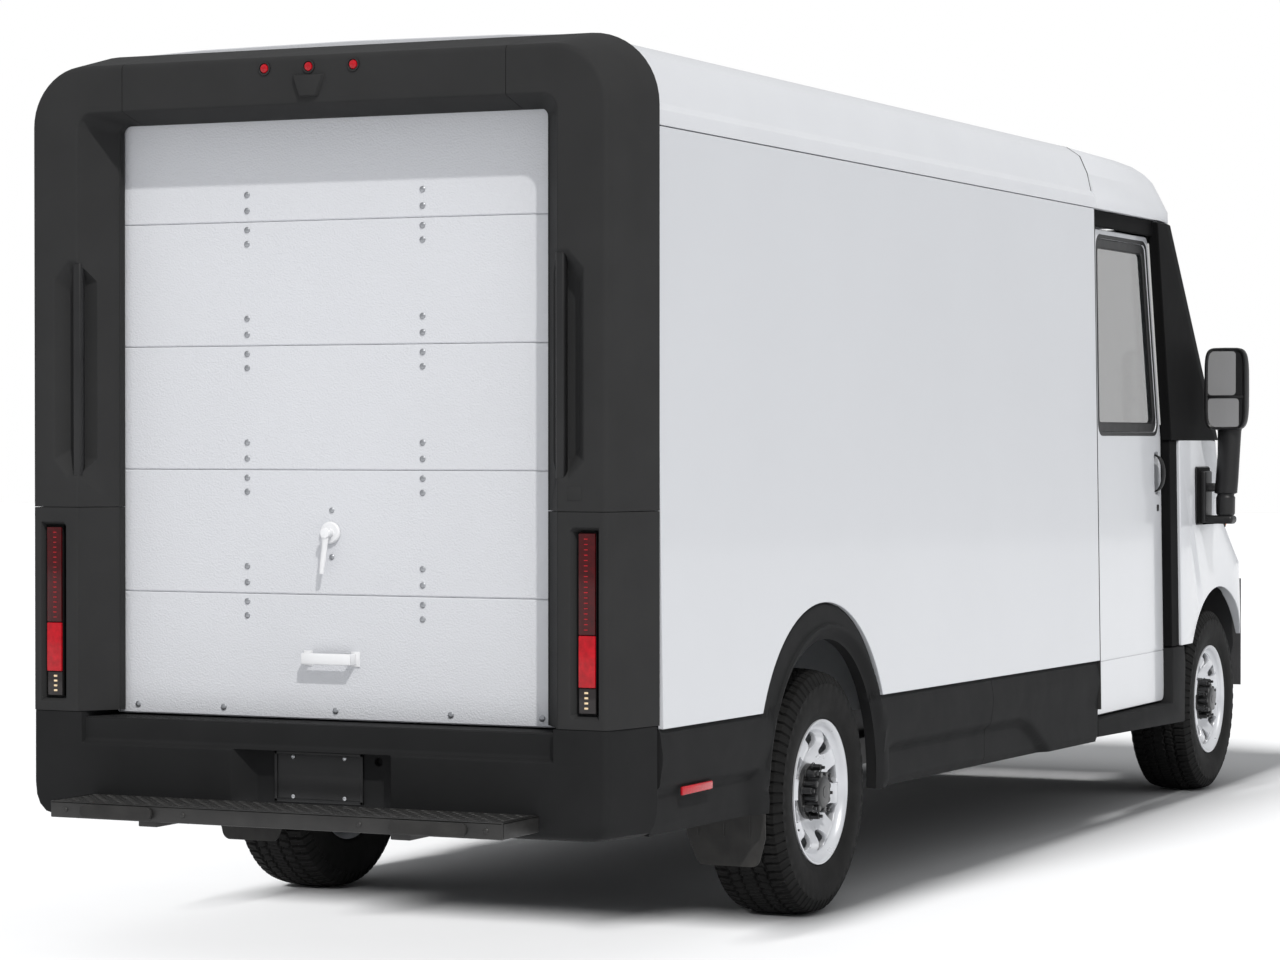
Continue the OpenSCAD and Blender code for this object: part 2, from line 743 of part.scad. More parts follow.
module front_body() {
    color("#e6e8ec") difference() {
        nose_solid(2, 6);
        nose_cavity(1160, belt_z + 20, screen_base_y + 45);
        nose_cavity(1050, 1161, nose_y + 300);
        nose_cavity(600, 1051, nose_y + 150);
        both() front_arch();
        both() wheelhouse_space(1);
        both() lamp_box(1);
        hood_cut(3);
    }
}

module lamp_box(grow) {
    box([-880 - grow, nose_y - 10, 1012 - grow], [-560 + grow, nose_y + 420, 1075 + grow]);
}

module hood() {
    color("#e6e8ec") difference() {
        intersection() {
            nose_solid(5, 6);
            hood_cut(0);
        }
        hull() {
            plan_slab(1180, half_w, nose_y + 310, nose_r, post_y);
            plan_slab(belt_z, half_w, screen_base_y + 25, nose_r, post_y);
        }
    }
}

module front_bumper() {
    color("#2f3032") difference() {
        nose_solid(0, 2);
        translate([0, 0, 300]) linear_extrude(500) plan(half_w - wall, nose_y + 130, nose_r, post_y + 1);
        both() front_arch();
        both() wheelhouse_space(1);
        box([-half_w - 10, nose_y + 256, 0], [half_w + 10, post_y + 1, cab_low_z + 1]);
    }
}

module head_lamps() {
    color("#dfe6ee") both() difference() {
        intersection() {
            nose_solid(3, 4);
            lamp_box(0);
        }
        translate([0, 60, 0]) nose_solid(2, 5);
    }
}

module cab_frame() {
    post_in = half_w - 60;
    color("#161718") {
        difference() {
            glass_house(0);
            translate([0, 0, -1]) glass_house(45);
            translate([0, 0, 1]) glass_house(45);
            screen_cut(0);
            both() yz(-half_w - 5, -half_w + 130) polygon([[door_front_y - 4, belt_z - 50],
                [door_front_y + 170, drip_z], [cargo_front_y + 10, drip_z], [cargo_front_y + 10, belt_z - 50]]);
        }
        both() difference() {
            leaned() box([-half_w + 12, post_y + 2, 440], [-half_w + 56, door_front_y - 4, belt_z - 0.5]);
            cyl_x(-half_w - 5, -post_in + 60, front_axle_y, front_arch_z, front_arch_r);
            box([-half_w - 1, post_y, 0], [-half_w + 130, door_front_y, cab_low_z]);
        }
        both() box([-half_at(drip_z) + 26, door_front_y + 150, drip_z - 66],
                   [-half_at(drip_z) + 52, cargo_front_y - 4, drip_z - 1]);
        both() box([-half_at(drip_z) + 51, door_front_y + 170, drip_z - 60],
                   [-half_at(drip_z) + 84, cargo_front_y + 1000, drip_z - 6]);
    }
}

module windscreen() {
    color("#1c2226") intersection() {
        difference() {
            glass_house(4);
            translate([0, 0, -1]) glass_house(4 + glass_t);
            translate([0, 0, 1]) glass_house(4 + glass_t);
        }
        screen_cut(0);
    }
}

module wheelhouse_space(grow) {
    box([-half_w + wall + 20 - grow, front_axle_y - front_arch_r - 12 - grow, cab_floor_z - 30 - grow],
        [-rail_x1 - 12 + grow, front_axle_y + front_arch_r + 12 + grow, front_arch_z + front_arch_r + 18 + grow]);
}

module cab_floor() {
    back = bulk_y;
    fore = front_axle_y + front_arch_r + 8;
    edge = liner_x + 10;
    color("#3b3d3f") {
        box([-edge, fore, cab_floor_z - 30], [edge, back, cab_floor_z]);
        box([-rail_x1 - 10, nose_y + 300, 536], [rail_x1 + 10, fore + 10, 560]);
        both() difference() {
            wheelhouse_space(0);
            box([-half_w, front_axle_y - front_arch_r - 4, 0], [-rail_x1 - 18, fore - 4, front_arch_z + front_arch_r + 12]);
        }
        box([-rail_x1 - 12, front_axle_y - 230, 560], [rail_x1 + 12, front_axle_y - 205, 1200]);
        box([-edge, back - 20, cab_floor_z], [edge, back, floor_z]);
    }
}

module dashboard() {
    color("#26282a") {
        yz(-half_w + 235, half_w - 235) polygon([[front_axle_y - 200, 1020], [front_axle_y + 60, 1060],
            [front_axle_y + 120, 1180], [front_axle_y + 60, 1290], [front_axle_y - 200, 1330]]);
        box([-160, front_axle_y + 115, 1080], [180, front_axle_y + 135, 1170]);
        translate([seat_x, front_axle_y + 60, 1090]) rotate([-62, 0, 0]) cylinder(h = 215, r = 32);
    }
}

module steering_wheel() {
    color("#17181a") translate([seat_x, front_axle_y + 60, 1090]) rotate([-62, 0, 0]) translate([0, 0, 217]) {
        translate([0, 0, 45]) rotate_extrude($fn = 64) translate([steer_r - 14, 0]) circle(14);
        cylinder(h = 44, r = 45);
        for (a = [0, 120, 240])
            rotate([0, 0, a + 90]) translate([0, -14, 32]) cube([steer_r - 14, 28, 12]);
    }
}

module pedal(x, w, h) {
    y = front_axle_y - 150;
    box([x - 8, y + 8, 640], [x + 8, y + 24, 880]);
    box([x - w / 2, y + 20, 620], [x + w / 2, y + 36, 620 + h]);
}

module brake_pedal() {
    color("#232425") pedal(seat_x - 110, 100, 60);
}

module accelerator_pedal() {
    color("#232425") pedal(seat_x - 10, 50, 110);
}

// ---------- Bulkhead ----------
bulk_open_x0 = -480;
bulk_open_x1 = 180;
module bulkhead() {
    color("#c4c7ca") {
        difference() {
            box([-liner_x + 2, bulk_y + 2, floor_z - rebate + 0.5], [liner_x - 2, bulk_y + 28, drip_z - 70]);
            box([bulk_open_x0, bulk_y, floor_z + 20], [bulk_open_x1, bulk_y + 30, 2330]);
        }
        box([bulk_open_x0 - 20, bulk_y + 28, 2360], [liner_x - 10, bulk_y + 60, 2385]);
    }
}

module bulkhead_door() {
    color("#d6d8da") {
        box([bulk_open_x0 - 20, bulk_y + 31, floor_z + 8], [bulk_open_x1 + 20, bulk_y + 56, 2358]);
        box([bulk_open_x0 + 10, bulk_y + 12, 1400], [bulk_open_x0 + 34, bulk_y + 31, 1600]);
    }
}

// ---------- Cab side doors ----------
win_z0 = belt_z + 35;
win_z1 = 2385;
module door_outline() {
    polygon([[door_front_y, 446], [cargo_front_y + 40, 446], [cargo_front_y + 40, drip_z - 72],
             [door_front_y + 159, drip_z - 72], [door_front_y, belt_z]]);
}

module window_outline(grow) {
    polygon([[door_front_y + 48 - grow, win_z0 - grow], [cargo_front_y - 190 + grow, win_z0 - grow],
             [cargo_front_y - 190 + grow, win_z1 + grow], [door_front_y + 195 - grow, win_z1 + grow]]);
}

door_out = half_w - panel_t - door_gap;
module cab_door() {
    color("#e6e8ec") leaned() difference() {
        yz(-door_out, -door_out + cab_door_t) door_outline();
        yz(-door_out - 1, -door_out + cab_door_t + 1) window_outline(0);
        handle_cut(1);
    }
}

module door_glass() {
    color("#2a3136") leaned() yz(-door_out + 12, -door_out + 17) window_outline(-0.3);
}

handle_y = door_front_y + 62;
handle_z = 1420;
module handle_cut(grow) {
    box([-door_out - 1, handle_y - 34 - grow, handle_z - 90 - grow],
        [-door_out + 28, handle_y + 34 + grow, handle_z + 90 + grow]);
}

module door_handle() {
    color("#121314") leaned() {
        box([-door_out - 42, handle_y - 14, handle_z - 82], [-door_out - 24, handle_y + 14, handle_z + 82]);
        for (z = [handle_z - 76, handle_z + 56])
            box([-door_out - 24, handle_y - 12, z], [-door_out + 20, handle_y + 12, z + 20]);
    }
}

// ---------- Mirrors ----------
mirror_x = half_w + 100;
mirror_y = front_axle_y + 272;
module side_mirror() {
    color("#191a1b") {
        translate([-mirror_x, mirror_y, 1230]) cylinder(h = 90, r = 38);
        hull() {
            translate([-mirror_x, mirror_y, 1318]) cylinder(h = 2, r = 36);
            translate([-mirror_x - 10, mirror_y, 1600]) cylinder(h = 6, r = 34);
        }
        box([-mirror_x - 107, mirror_y - 60, 1604], [-mirror_x + 92, mirror_y + 36, 1965]);
    }
}

module mirror_base() {
    box([-mirror_x - 34, mirror_y - 34, 1195], [-half_w - 6, mirror_y + 34, 1228]);
    leaned() box([-half_w - 15, mirror_y - 95, 1195], [-half_w - 0.5, mirror_y + 95, 1440]);
}

// ---------- Driver seat ----------
module seat_base() {
    color("#2a2b2d") {
        difference() {
            box([seat_x - 200, door_front_y + 40, cab_floor_z + 1], [seat_x + 200, door_front_y + 440, 690]);
            box([seat_x - 170, door_front_y + 30, cab_floor_z + 40], [seat_x + 170, door_front_y + 450, 640]);
        }
    }
}

module seat_cushion() {
    color("#35373a") box([seat_x - 245, door_front_y - 20, 692], [seat_x + 245, door_front_y + 450, 812]);
}

module seat_back() {
    color("#35373a") translate([seat_x, door_front_y + 520, 760]) rotate([-10, 0, 0]) {
        box([-235, -50, 70], [235, 50, 690]);
        box([-130, -40, 700], [130, 35, 890]);
        for (x = [-60, 60]) translate([x, 0, 680]) cylinder(h = 40, r = 7);
    }
}

// ---------- Wiper ----------
wiper_x = 300;
wiper_l = 600;
wiper_h = 60;
module on_screen() {
    translate([wiper_x, screen_base_y, belt_z]) rotate([90 - screen_tilt, 0, 0]) translate([0, wiper_h, 0]) children();
}

module wiper() {
    color("#0e0f10") on_screen() {
        translate([0, 0, 2]) cylinder(h = 26, r = 18);
        box([-wiper_l + 250, -9, 20], [0, 9, 28]);
        box([-wiper_l, -6, 3], [-wiper_l + 430, 6, 20]);
    }
}

chassis_frame();
battery_pack();
cargo_floor();
side_panel();  // side_panel_right
left_of() side_panel();  // side_panel_left
roof_panel();
roof_cap();
rear_header();
rear_pillars();
rear_bumper();
rear_step();
dock_bumpers();
tail_lights();
marker_lights();
grab_bars();
door_tracks();
sill_claddings();
mud_flaps();
cab_floor();
union() {
    cab_frame();
    color("#161718") both() mirror_base();
}
front_body();
front_bumper();
windscreen();
head_lamps();
dashboard();
bulkhead();
rear_axle();
plate_holder();
bulkhead_door();
hood();
cab_door();  // cab_door_right
left_of() cab_door();  // cab_door_left
door_glass();  // door_glass_right
left_of() door_glass();  // door_glass_left
door_handle();  // door_handle_right
left_of() door_handle();  // door_handle_left
side_mirror();  // mirror_right
left_of() side_mirror();  // mirror_left
color("#1b1c1d") wheel_at(front_axle_y, -1) tyre();  // tyre_front_right
color("#1b1c1d") wheel_at(front_axle_y, 1) tyre();  // tyre_front_left
color("#1b1c1d") wheel_at(rear_axle_y, -1) tyre();  // tyre_rear_right
color("#1b1c1d") wheel_at(rear_axle_y, 1) tyre();  // tyre_rear_left
wheel_at(front_axle_y, -1) rim_and_hub();  // rim_front_right
wheel_at(front_axle_y, 1) rim_and_hub();  // rim_front_left
wheel_at(rear_axle_y, -1) rim_and_hub();  // rim_rear_right
wheel_at(rear_axle_y, 1) rim_and_hub();  // rim_rear_left
knuckle();  // knuckle_right
left_of() knuckle();  // knuckle_left
steering_wheel();
brake_pedal();
accelerator_pedal();
seat_base();
seat_cushion();
seat_back();
wiper();
lower_door_sections();
door_section(4);  // door_section_4
door_section(5);  // door_section_5
door_hardware();
latch_handle();
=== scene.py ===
import bpy
import bmesh
import json
from math import asin, copysign, cos, exp, hypot, pi, radians, sin, tan
from mathutils import Vector, Matrix

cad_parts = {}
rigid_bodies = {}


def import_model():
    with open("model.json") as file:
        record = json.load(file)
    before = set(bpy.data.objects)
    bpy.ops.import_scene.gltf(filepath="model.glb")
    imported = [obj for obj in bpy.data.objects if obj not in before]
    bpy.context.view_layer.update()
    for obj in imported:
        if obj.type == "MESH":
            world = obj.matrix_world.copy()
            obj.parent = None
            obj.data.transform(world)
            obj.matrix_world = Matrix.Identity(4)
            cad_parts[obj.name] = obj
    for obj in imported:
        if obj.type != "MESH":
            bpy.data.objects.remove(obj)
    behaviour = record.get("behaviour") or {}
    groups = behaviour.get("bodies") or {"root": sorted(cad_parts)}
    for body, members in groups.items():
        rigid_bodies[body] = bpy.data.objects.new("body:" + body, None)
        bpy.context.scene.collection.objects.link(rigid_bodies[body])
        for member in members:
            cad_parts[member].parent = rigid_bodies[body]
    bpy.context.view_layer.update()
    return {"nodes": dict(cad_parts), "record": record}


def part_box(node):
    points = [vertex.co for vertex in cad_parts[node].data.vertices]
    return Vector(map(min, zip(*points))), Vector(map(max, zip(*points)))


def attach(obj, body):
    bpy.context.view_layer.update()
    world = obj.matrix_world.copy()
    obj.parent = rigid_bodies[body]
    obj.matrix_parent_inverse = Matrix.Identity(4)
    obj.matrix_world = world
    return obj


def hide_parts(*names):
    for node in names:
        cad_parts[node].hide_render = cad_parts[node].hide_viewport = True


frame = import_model()
nodes = frame["nodes"]
body_of_node = {n: b for b, ns in frame["record"]["behaviour"]["bodies"].items() for n in ns}
slot_of_node = {s["node"]: s["material_slot"] for s in frame["record"]["subparts"]}


def in_scene(o):
    bpy.context.scene.collection.objects.link(o)


# ---------- Materials ----------
def material(name, base, rough=0.5, metal=0.0, coat=0.0, spec=0.5, tint=0.04, tint_scale=3.0,
             grain=0.0, grain_scale=800.0, cells=0.0, cell_scale=250.0, wave=0.0, wave_scale=1.2,
             rough_var=0.08, dust=0.0, alpha=1.0, glow=0.0, sheen=0.0, transmission=0.0, ior=1.5):
    m = bpy.data.materials.new(name)
    m.use_nodes = True
    t = m.node_tree
    n, link = t.nodes, t.links.new
    b = n["Principled BSDF"]
    b.inputs["Metallic"].default_value = metal
    b.inputs["Coat Weight"].default_value = coat
    b.inputs["Coat Roughness"].default_value = 0.06
    b.inputs["Specular IOR Level"].default_value = spec
    b.inputs["IOR"].default_value = ior
    b.inputs["Alpha"].default_value = alpha
    b.inputs["Sheen Weight"].default_value = sheen
    b.inputs["Transmission Weight"].default_value = transmission
    if glow:
        b.inputs["Emission Color"].default_value = (*base[:3], 1)
        b.inputs["Emission Strength"].default_value = glow
    at = n.new("ShaderNodeTexCoord").outputs["Object"]

    def noise(scale, detail=3.0):
        k = n.new("ShaderNodeTexNoise")
        k.inputs["Scale"].default_value = scale
        k.inputs["Detail"].default_value = detail
        link(at, k.inputs["Vector"])
        return k.outputs["Fac"]

    soft = noise(tint_scale)
    ramp = n.new("ShaderNodeValToRGB")
    ramp.color_ramp.elements[0].position = 0.3
    ramp.color_ramp.elements[1].position = 0.7
    ramp.color_ramp.elements[0].color = (*[c * (1 - tint) for c in base[:3]], 1)
    ramp.color_ramp.elements[1].color = (*[min(c * (1 + tint), 1) for c in base[:3]], 1)
    link(soft, ramp.inputs["Fac"])
    colour = ramp.outputs["Color"]
    if dust:
        low = n.new("ShaderNodeSeparateXYZ")
        link(at, low.inputs["Vector"])
        fall = n.new("ShaderNodeMapRange")
        fall.inputs["From Min"].default_value = 0.9
        fall.inputs["From Max"].default_value = 0.1
        link(low.outputs["Z"], fall.inputs["Value"])
        much = n.new("ShaderNodeMath")
        much.operation = "MULTIPLY"
        link(fall.outputs["Result"], much.inputs[0])
        link(noise(14.0, 6.0), much.inputs[1])
        mix = n.new("ShaderNodeMix")
        mix.data_type = "RGBA"
        mix.inputs["B"].default_value = (dust, dust * 0.96, dust * 0.9, 1)
        link(much.outputs["Value"], mix.inputs["Factor"])
        link(colour, mix.inputs["A"])
        colour = mix.outputs["Result"]
    link(colour, b.inputs["Base Color"])
    rr = n.new("ShaderNodeMapRange")
    rr.inputs["To Min"].default_value = max(rough - rough_var, 0.02)
    rr.inputs["To Max"].default_value = min(rough + rough_var, 1)
    link(noise(tint_scale * 2.3, 5.0), rr.inputs["Value"])
    link(rr.outputs["Result"], b.inputs["Roughness"])
    last = None
    for depth, source in ((wave, lambda: noise(wave_scale, 2.0)), (grain, lambda: noise(grain_scale, 4.0)),
                          (cells, None)):
        if not depth:
            continue
        bump = n.new("ShaderNodeBump")
        bump.inputs["Distance"].default_value = depth
        if source:
            link(source(), bump.inputs["Height"])
        else:
            v = n.new("ShaderNodeTexVoronoi")
            v.feature = "SMOOTH_F1"
            v.inputs["Scale"].default_value = cell_scale
            link(at, v.inputs["Vector"])
            link(v.outputs["Distance"], bump.inputs["Height"])
        if last:
            link(last, bump.inputs["Normal"])
        last = bump.outputs["Normal"]
    if last:
        link(last, b.inputs["Normal"])
    return m


WHITE = (0.57, 0.582, 0.609)
M = {
    "panel": material("white_side_panel", WHITE, 0.30, coat=0.35, tint=0.012, tint_scale=1.2, wave=0.004,
        wave_scale=1.6, grain=0.00006, grain_scale=300, rough_var=0.04),
    "paint": material("white_cab_paint", (0.585, 0.597, 0.624), 0.22, coat=0.6, tint=0.01, grain=0.00002,
        grain_scale=500, rough_var=0.03),
    "roof": material("white_roof_shell", (0.61, 0.62, 0.645), 0.36, coat=0.15, tint=0.012, wave=0.0015,
        wave_scale=2.2, rough_var=0.05),
    # One charcoal plastic in two copies: the darker clad copy is painted shade, set down to offset the extra
    # floor and horizon light on the claddings, bumper and tread, and the lighter surround copy is painted
    # light on the rear surround.
    "clad": material("charcoal_moulding_painted_shade", (0.0170, 0.0172, 0.0177), 0.66, spec=0.06, tint=0.08,
        tint_scale=5, grain=0.00022, grain_scale=900, rough_var=0.07),
    "surround": material("charcoal_surround_painted_light", (0.0310, 0.0311, 0.0315), 0.66, spec=0.05, tint=0.06,
        tint_scale=5, grain=0.00022, grain_scale=900, rough_var=0.07),
    "gloss_black": material("black_gloss_trim", (0.007, 0.007, 0.0072), 0.60, coat=0.0, spec=0.03,
        tint=0.1, rough_var=0.04),
    "satin_black": material("black_satin_plastic", (0.009, 0.009, 0.0095), 0.42, spec=0.4, tint=0.15,
        tint_scale=9, grain=0.00012, grain_scale=1100),
    "black_steel": material("black_coated_steel", (0.012, 0.012, 0.0125), 0.45, spec=0.4, tint=0.2,
        tint_scale=12, grain=0.0002, grain_scale=420, dust=0.05),
    "rubber": material("black_rubber", (0.010, 0.010, 0.0105), 0.72, spec=0.3, tint=0.2, tint_scale=10,
        grain=0.0003, grain_scale=350, dust=0.06),
    "tyre": material("tyre_rubber", (0.0085, 0.0084, 0.0083), 0.70, spec=0.12, tint=0.25, tint_scale=14,
        grain=0.0004, grain_scale=240),
    "rim": material("silver_rim_paint", (0.62, 0.63, 0.655), 0.3, metal=0.55, coat=0.4, tint=0.04,
        tint_scale=8, grain=0.00006, grain_scale=700, rough_var=0.07),
    "hub": material("black_hub_cap", (0.010, 0.010, 0.0105), 0.36, coat=0.2, tint=0.2, tint_scale=20,
        grain=0.00015, grain_scale=500),
    "door": material("pebbled_white_door", (0.62, 0.63, 0.66), 0.42, tint=0.012, tint_scale=2,
        cells=0.0012, cell_scale=190, wave=0.0012, wave_scale=5),
    "hardware": material("white_painted_steel", (0.78, 0.785, 0.80), 0.3, coat=0.2, tint=0.03,
        tint_scale=9, grain=0.00012, grain_scale=400),
    "bolt": material("zinc_bolt", (0.34, 0.35, 0.37), 0.32, metal=0.7, tint=0.15, tint_scale=40,
        grain=0.00012, grain_scale=300),
    "track": material("galvanised_steel", (0.50, 0.51, 0.53), 0.38, metal=0.8, tint=0.12, tint_scale=30,
        cells=0.0001, cell_scale=80),
    "red": material("dark_red_lens", (0.050, 0.001, 0.002), 0.18, coat=0.1, spec=0.3, tint=0.25,
        tint_scale=60, rough_var=0.03),
    "bright_red": material("bright_red_lens", (0.42, 0.003, 0.010), 0.22, coat=0.15, spec=0.3, tint=0.2,
        tint_scale=60, rough_var=0.03),
    "amber": material("amber_lens", (0.85, 0.22, 0.03), 0.14, coat=0.8, tint=0.15, tint_scale=60,
        rough_var=0.03, glow=0.1),
    "clear": material("clear_lens", (0.62, 0.66, 0.72), 0.08, coat=0.8, tint=0.06, tint_scale=30,
        rough_var=0.03),
    "smoke": material("smoked_lens", (0.020, 0.016, 0.016), 0.15, spec=0.4, tint=0.1, tint_scale=40,
        rough_var=0.03),
    "dash": material("warm_reflector", (0.85, 0.66, 0.42), 0.2, spec=0.4, tint=0.1, tint_scale=60,
        rough_var=0.03),
    "glass": material("tinted_glass", (0.035, 0.042, 0.045), 0.05, coat=0.0, spec=0.35, tint=0.05,
        alpha=0.16, rough_var=0.015),
    "dark_glass": material("windscreen_glass", (0.02, 0.024, 0.026), 0.06, coat=0.0, spec=0.35, tint=0.05,
        alpha=0.30, rough_var=0.015),
    # Mirror glass as a mostly matte light grey with little metal: the grey colour is a painted reflection
    # standing in for what the mirror shows.
    "mirror": material("mirror_glass", (0.36, 0.36, 0.365), 0.14, metal=0.25, tint=0.02, rough_var=0.02),
    "cabin": material("cabin_plastic", (0.035, 0.035, 0.038), 0.6, tint=0.12, tint_scale=6, grain=0.0002,
        grain_scale=800),
    "floor": material("ribbed_cab_floor", (0.05, 0.05, 0.052), 0.6, tint=0.15, tint_scale=7, cells=0.0008,
        cell_scale=120),
    "deck": material("cargo_deck_coating", (0.30, 0.31, 0.32), 0.5, tint=0.12, tint_scale=6, grain=0.0006,
        grain_scale=260),
    "alloy": material("bulkhead_alloy", (0.55, 0.56, 0.58), 0.36, metal=0.7, tint=0.05, tint_scale=5,
        grain=0.0001, grain_scale=260),
    "battery": material("battery_case", (0.05, 0.052, 0.055), 0.5, tint=0.15, tint_scale=7, grain=0.0004,
        grain_scale=180, dust=0.06),
    "chassis": material("chassis_paint", (0.012, 0.012, 0.012), 0.5, tint=0.25, tint_scale=11,
        grain=0.0004, grain_scale=200, dust=0.06),
    "fabric": material("woven_seat_fabric", (0.05, 0.052, 0.06), 0.85, spec=0.2, tint=0.2, tint_scale=12,
        cells=0.0006, cell_scale=420, sheen=0.4),
    "seam": material("dark_joint", (0.004, 0.004, 0.004), 0.8, spec=0.1, tint=0.2, grain=0.0001),
}
LOOK = {
    "chassis_steel": "chassis", "battery_case": "battery", "floor_board": "deck", "cab_floor_sheet": "floor",
    "white_panel": "panel", "white_paint": "paint", "grey_cladding": "clad", "step_steel": "black_steel",
    "black_rubber": "rubber", "red_lens": "red", "marker_lens": "bright_red", "lamp_lens": "clear",
    "black_plastic": "satin_black", "black_trim": "gloss_black", "track_steel": "track",
    "tinted_glass": "glass", "cabin_plastic": "cabin", "pedal_steel": "black_steel",
    "bulkhead_alloy": "alloy", "seat_fabric": "fabric", "door_panel": "door", "door_hardware": "hardware",
    "tyre": "tyre", "rim_steel": "rim",
}
NODE_LOOK = {"roof_panel": "roof", "roof_cap": "roof", "windscreen": "dark_glass"}


def look_of(node):
    return M[NODE_LOOK.get(node, LOOK.get(slot_of_node[node], "clad"))]


for name, obj in nodes.items():
    for s in obj.material_slots:
        s.material = look_of(name)


# ---------- Mesh helpers ----------
def obj_from(name, bm, mat, body, smooth=35.0, flat=9.0):
    me = bpy.data.meshes.new(name)
    bm.to_mesh(me)
    bm.free()
    o = bpy.data.objects.new(name, me)
    in_scene(o)
    for p in me.polygons:
        p.use_smooth = p.area < flat
    me.set_sharp_from_angle(angle=radians(smooth))
    for k in (mat if isinstance(mat, (list, tuple)) else [mat]):
        me.materials.append(k)
    if body:
        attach(o, body)
    return o


def bevelled(bm, width, seg=2, angle=28.0, where=None):
    edges = [e for e in bm.edges if len(e.link_faces) == 2 and e.calc_face_angle(0) > radians(angle)
             and (where is None or where(e))]
    if edges:
        bmesh.ops.bevel(bm, geom=edges, offset=width, segments=seg, profile=0.5, affect="EDGES",
                        clamp_overlap=False)
    return bm


def refined(node, width=0.0, seg=2, mat=None, smooth=35.0, dissolve=1.0, where=None, flat=9.0):
    """A copy of a CAD node with its flats joined and its edges rounded."""
    bm = bmesh.new()
    bm.from_mesh(nodes[node].data)
    bmesh.ops.remove_doubles(bm, verts=bm.verts, dist=2e-5)
    bmesh.ops.dissolve_limit(bm, angle_limit=radians(dissolve), verts=bm.verts, edges=bm.edges)
    if width:
        bevelled(bm, width, seg, where=where)
    bmesh.ops.triangulate(bm, faces=[f for f in bm.faces if len(f.verts) > 4])
    o = obj_from(node + "_shape", bm, mat or look_of(node), body_of_node[node], smooth,
                 flat)
    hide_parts(node)
    return o


# ---------- Camera, floor and light ----------
def camera():
    yaw, pitch = radians(24.707), radians(0.664)
    d = Vector((sin(yaw) * cos(pitch), -cos(yaw) * cos(pitch), -sin(pitch)))
    cam = bpy.data.cameras.new("camera")
    cam.lens = 101.3
    cam.sensor_width = 36
    cam.clip_end = 200
    o = bpy.data.objects.new("camera", cam)
    o.location = (-5.418, 12.802, 1.569)
    o.rotation_euler = d.to_track_quat("-Z", "Y").to_euler()
    in_scene(o)
    bpy.context.scene.camera = o


def sun(name, energy, angle, towards, floor, colour=(1.0, 1.0, 1.0)):
    """A sun whose light is linked to the floor; gives the collection that links them."""
    light = bpy.data.lights.new(name, "SUN")
    light.energy = energy
    light.angle = radians(angle)
    light.color = colour
    o = bpy.data.objects.new(name, light)
    o.rotation_euler = Vector(towards).to_track_quat("-Z", "Y").to_euler()
    in_scene(o)
    lit = bpy.data.collections.new(name + "_lit")
    lit.objects.link(floor)
    o.light_linking.receiver_collection = lit
    return lit


def stage():
    """The floor takes no light from the key sun, and its own soft sun lights nothing else."""
    bm = bmesh.new()
    bmesh.ops.create_grid(bm, x_segments=4, y_segments=4, size=60)
    o = obj_from("floor", bm, material("pale_floor", (0.50, 0.50, 0.503), 0.8, spec=0.0, tint=0.004), None)
    w = bpy.data.worlds.new("studio")
    bpy.context.scene.world = w
    w.use_nodes = True
    t = w.node_tree
    bg = t.nodes["Background"]
    bg.inputs["Strength"].default_value = 1.0
    at = t.nodes.new("ShaderNodeTexCoord").outputs["Generated"]
    z = t.nodes.new("ShaderNodeSeparateXYZ")
    t.links.new(at, z.inputs["Vector"])
    ramp = t.nodes.new("ShaderNodeValToRGB")
    ramp.color_ramp.elements[0].position = 0.0
    ramp.color_ramp.elements[0].color = (0.54, 0.55, 0.565, 1)
    ramp.color_ramp.elements[1].position = 0.8
    ramp.color_ramp.elements[1].color = (0.70, 0.71, 0.72, 1)
    t.links.new(z.outputs["Z"], ramp.inputs["Fac"])
    eye = t.nodes.new("ShaderNodeLightPath").outputs["Is Camera Ray"]
    mix = t.nodes.new("ShaderNodeMix")
    mix.data_type = "RGBA"
    mix.inputs["B"].default_value = (1.0, 1.0, 1.0, 1)
    t.links.new(eye, mix.inputs["Factor"])
    t.links.new(ramp.outputs["Color"], mix.inputs["A"])
    t.links.new(mix.outputs["Result"], bg.inputs["Color"])
    key = sun("key", 2.2, 1.2, (0.95, -1.0, -1.53), o, (1.0, 0.985, 0.96))
    key.collection_objects[0].light_linking.link_state = "EXCLUDE"
    sun("floor_fill", 9.6, 12, (-0.10, -1.77, -1), o)
    bpy.context.scene.view_settings.view_transform = "Standard"


camera()
stage()


# ---------- Shared sizes of the truck, in metres ----------
HALF = 1.055
REAR = 3.400
SIDE_Y = 3.159
DOOR_Y = 3.250
AXLE_Y = 1.790
FRONT_Y = -2.872
AXLE_Z = 0.405
DECK_Z = 0.712
SECTION_H = 0.380
SIDE_LEAN = 0.01553
LEAF_X = -1.005


def lerp(a, b, t):
    return a + (b - a) * t


def step(t):
    t = min(max(t, 0.0), 1.0)
    return t * t * (3 - 2 * t)


def grid_bm(rows, close_u=False, close_v=False):
    """rows: a list of equally long lists of points; joins them into quads."""
    bm = bmesh.new()
    vs = [[bm.verts.new(p) for p in row] for row in rows]
    nu, nv = len(rows), len(rows[0])
    for i in range(nu if close_u else nu - 1):
        for j in range(nv if close_v else nv - 1):
            q = [vs[i][j], vs[(i + 1) % nu][j], vs[(i + 1) % nu][(j + 1) % nv], vs[i][(j + 1) % nv]]
            if len(set(q)) == 4:
                bm.faces.new(q)
    return bm, vs


def cap(bm, ring):
    try:
        bm.faces.new(ring)
    except ValueError:
        pass


def outward(bm):
    bmesh.ops.recalc_face_normals(bm, faces=bm.faces)
    return bm


def tube_bm(rings):
    """A closed skin over a row of rings, capped at both ends."""
    bm, vs = grid_bm(rings, close_v=True)
    cap(bm, vs[0])
    cap(bm, vs[-1])
    return outward(bm)


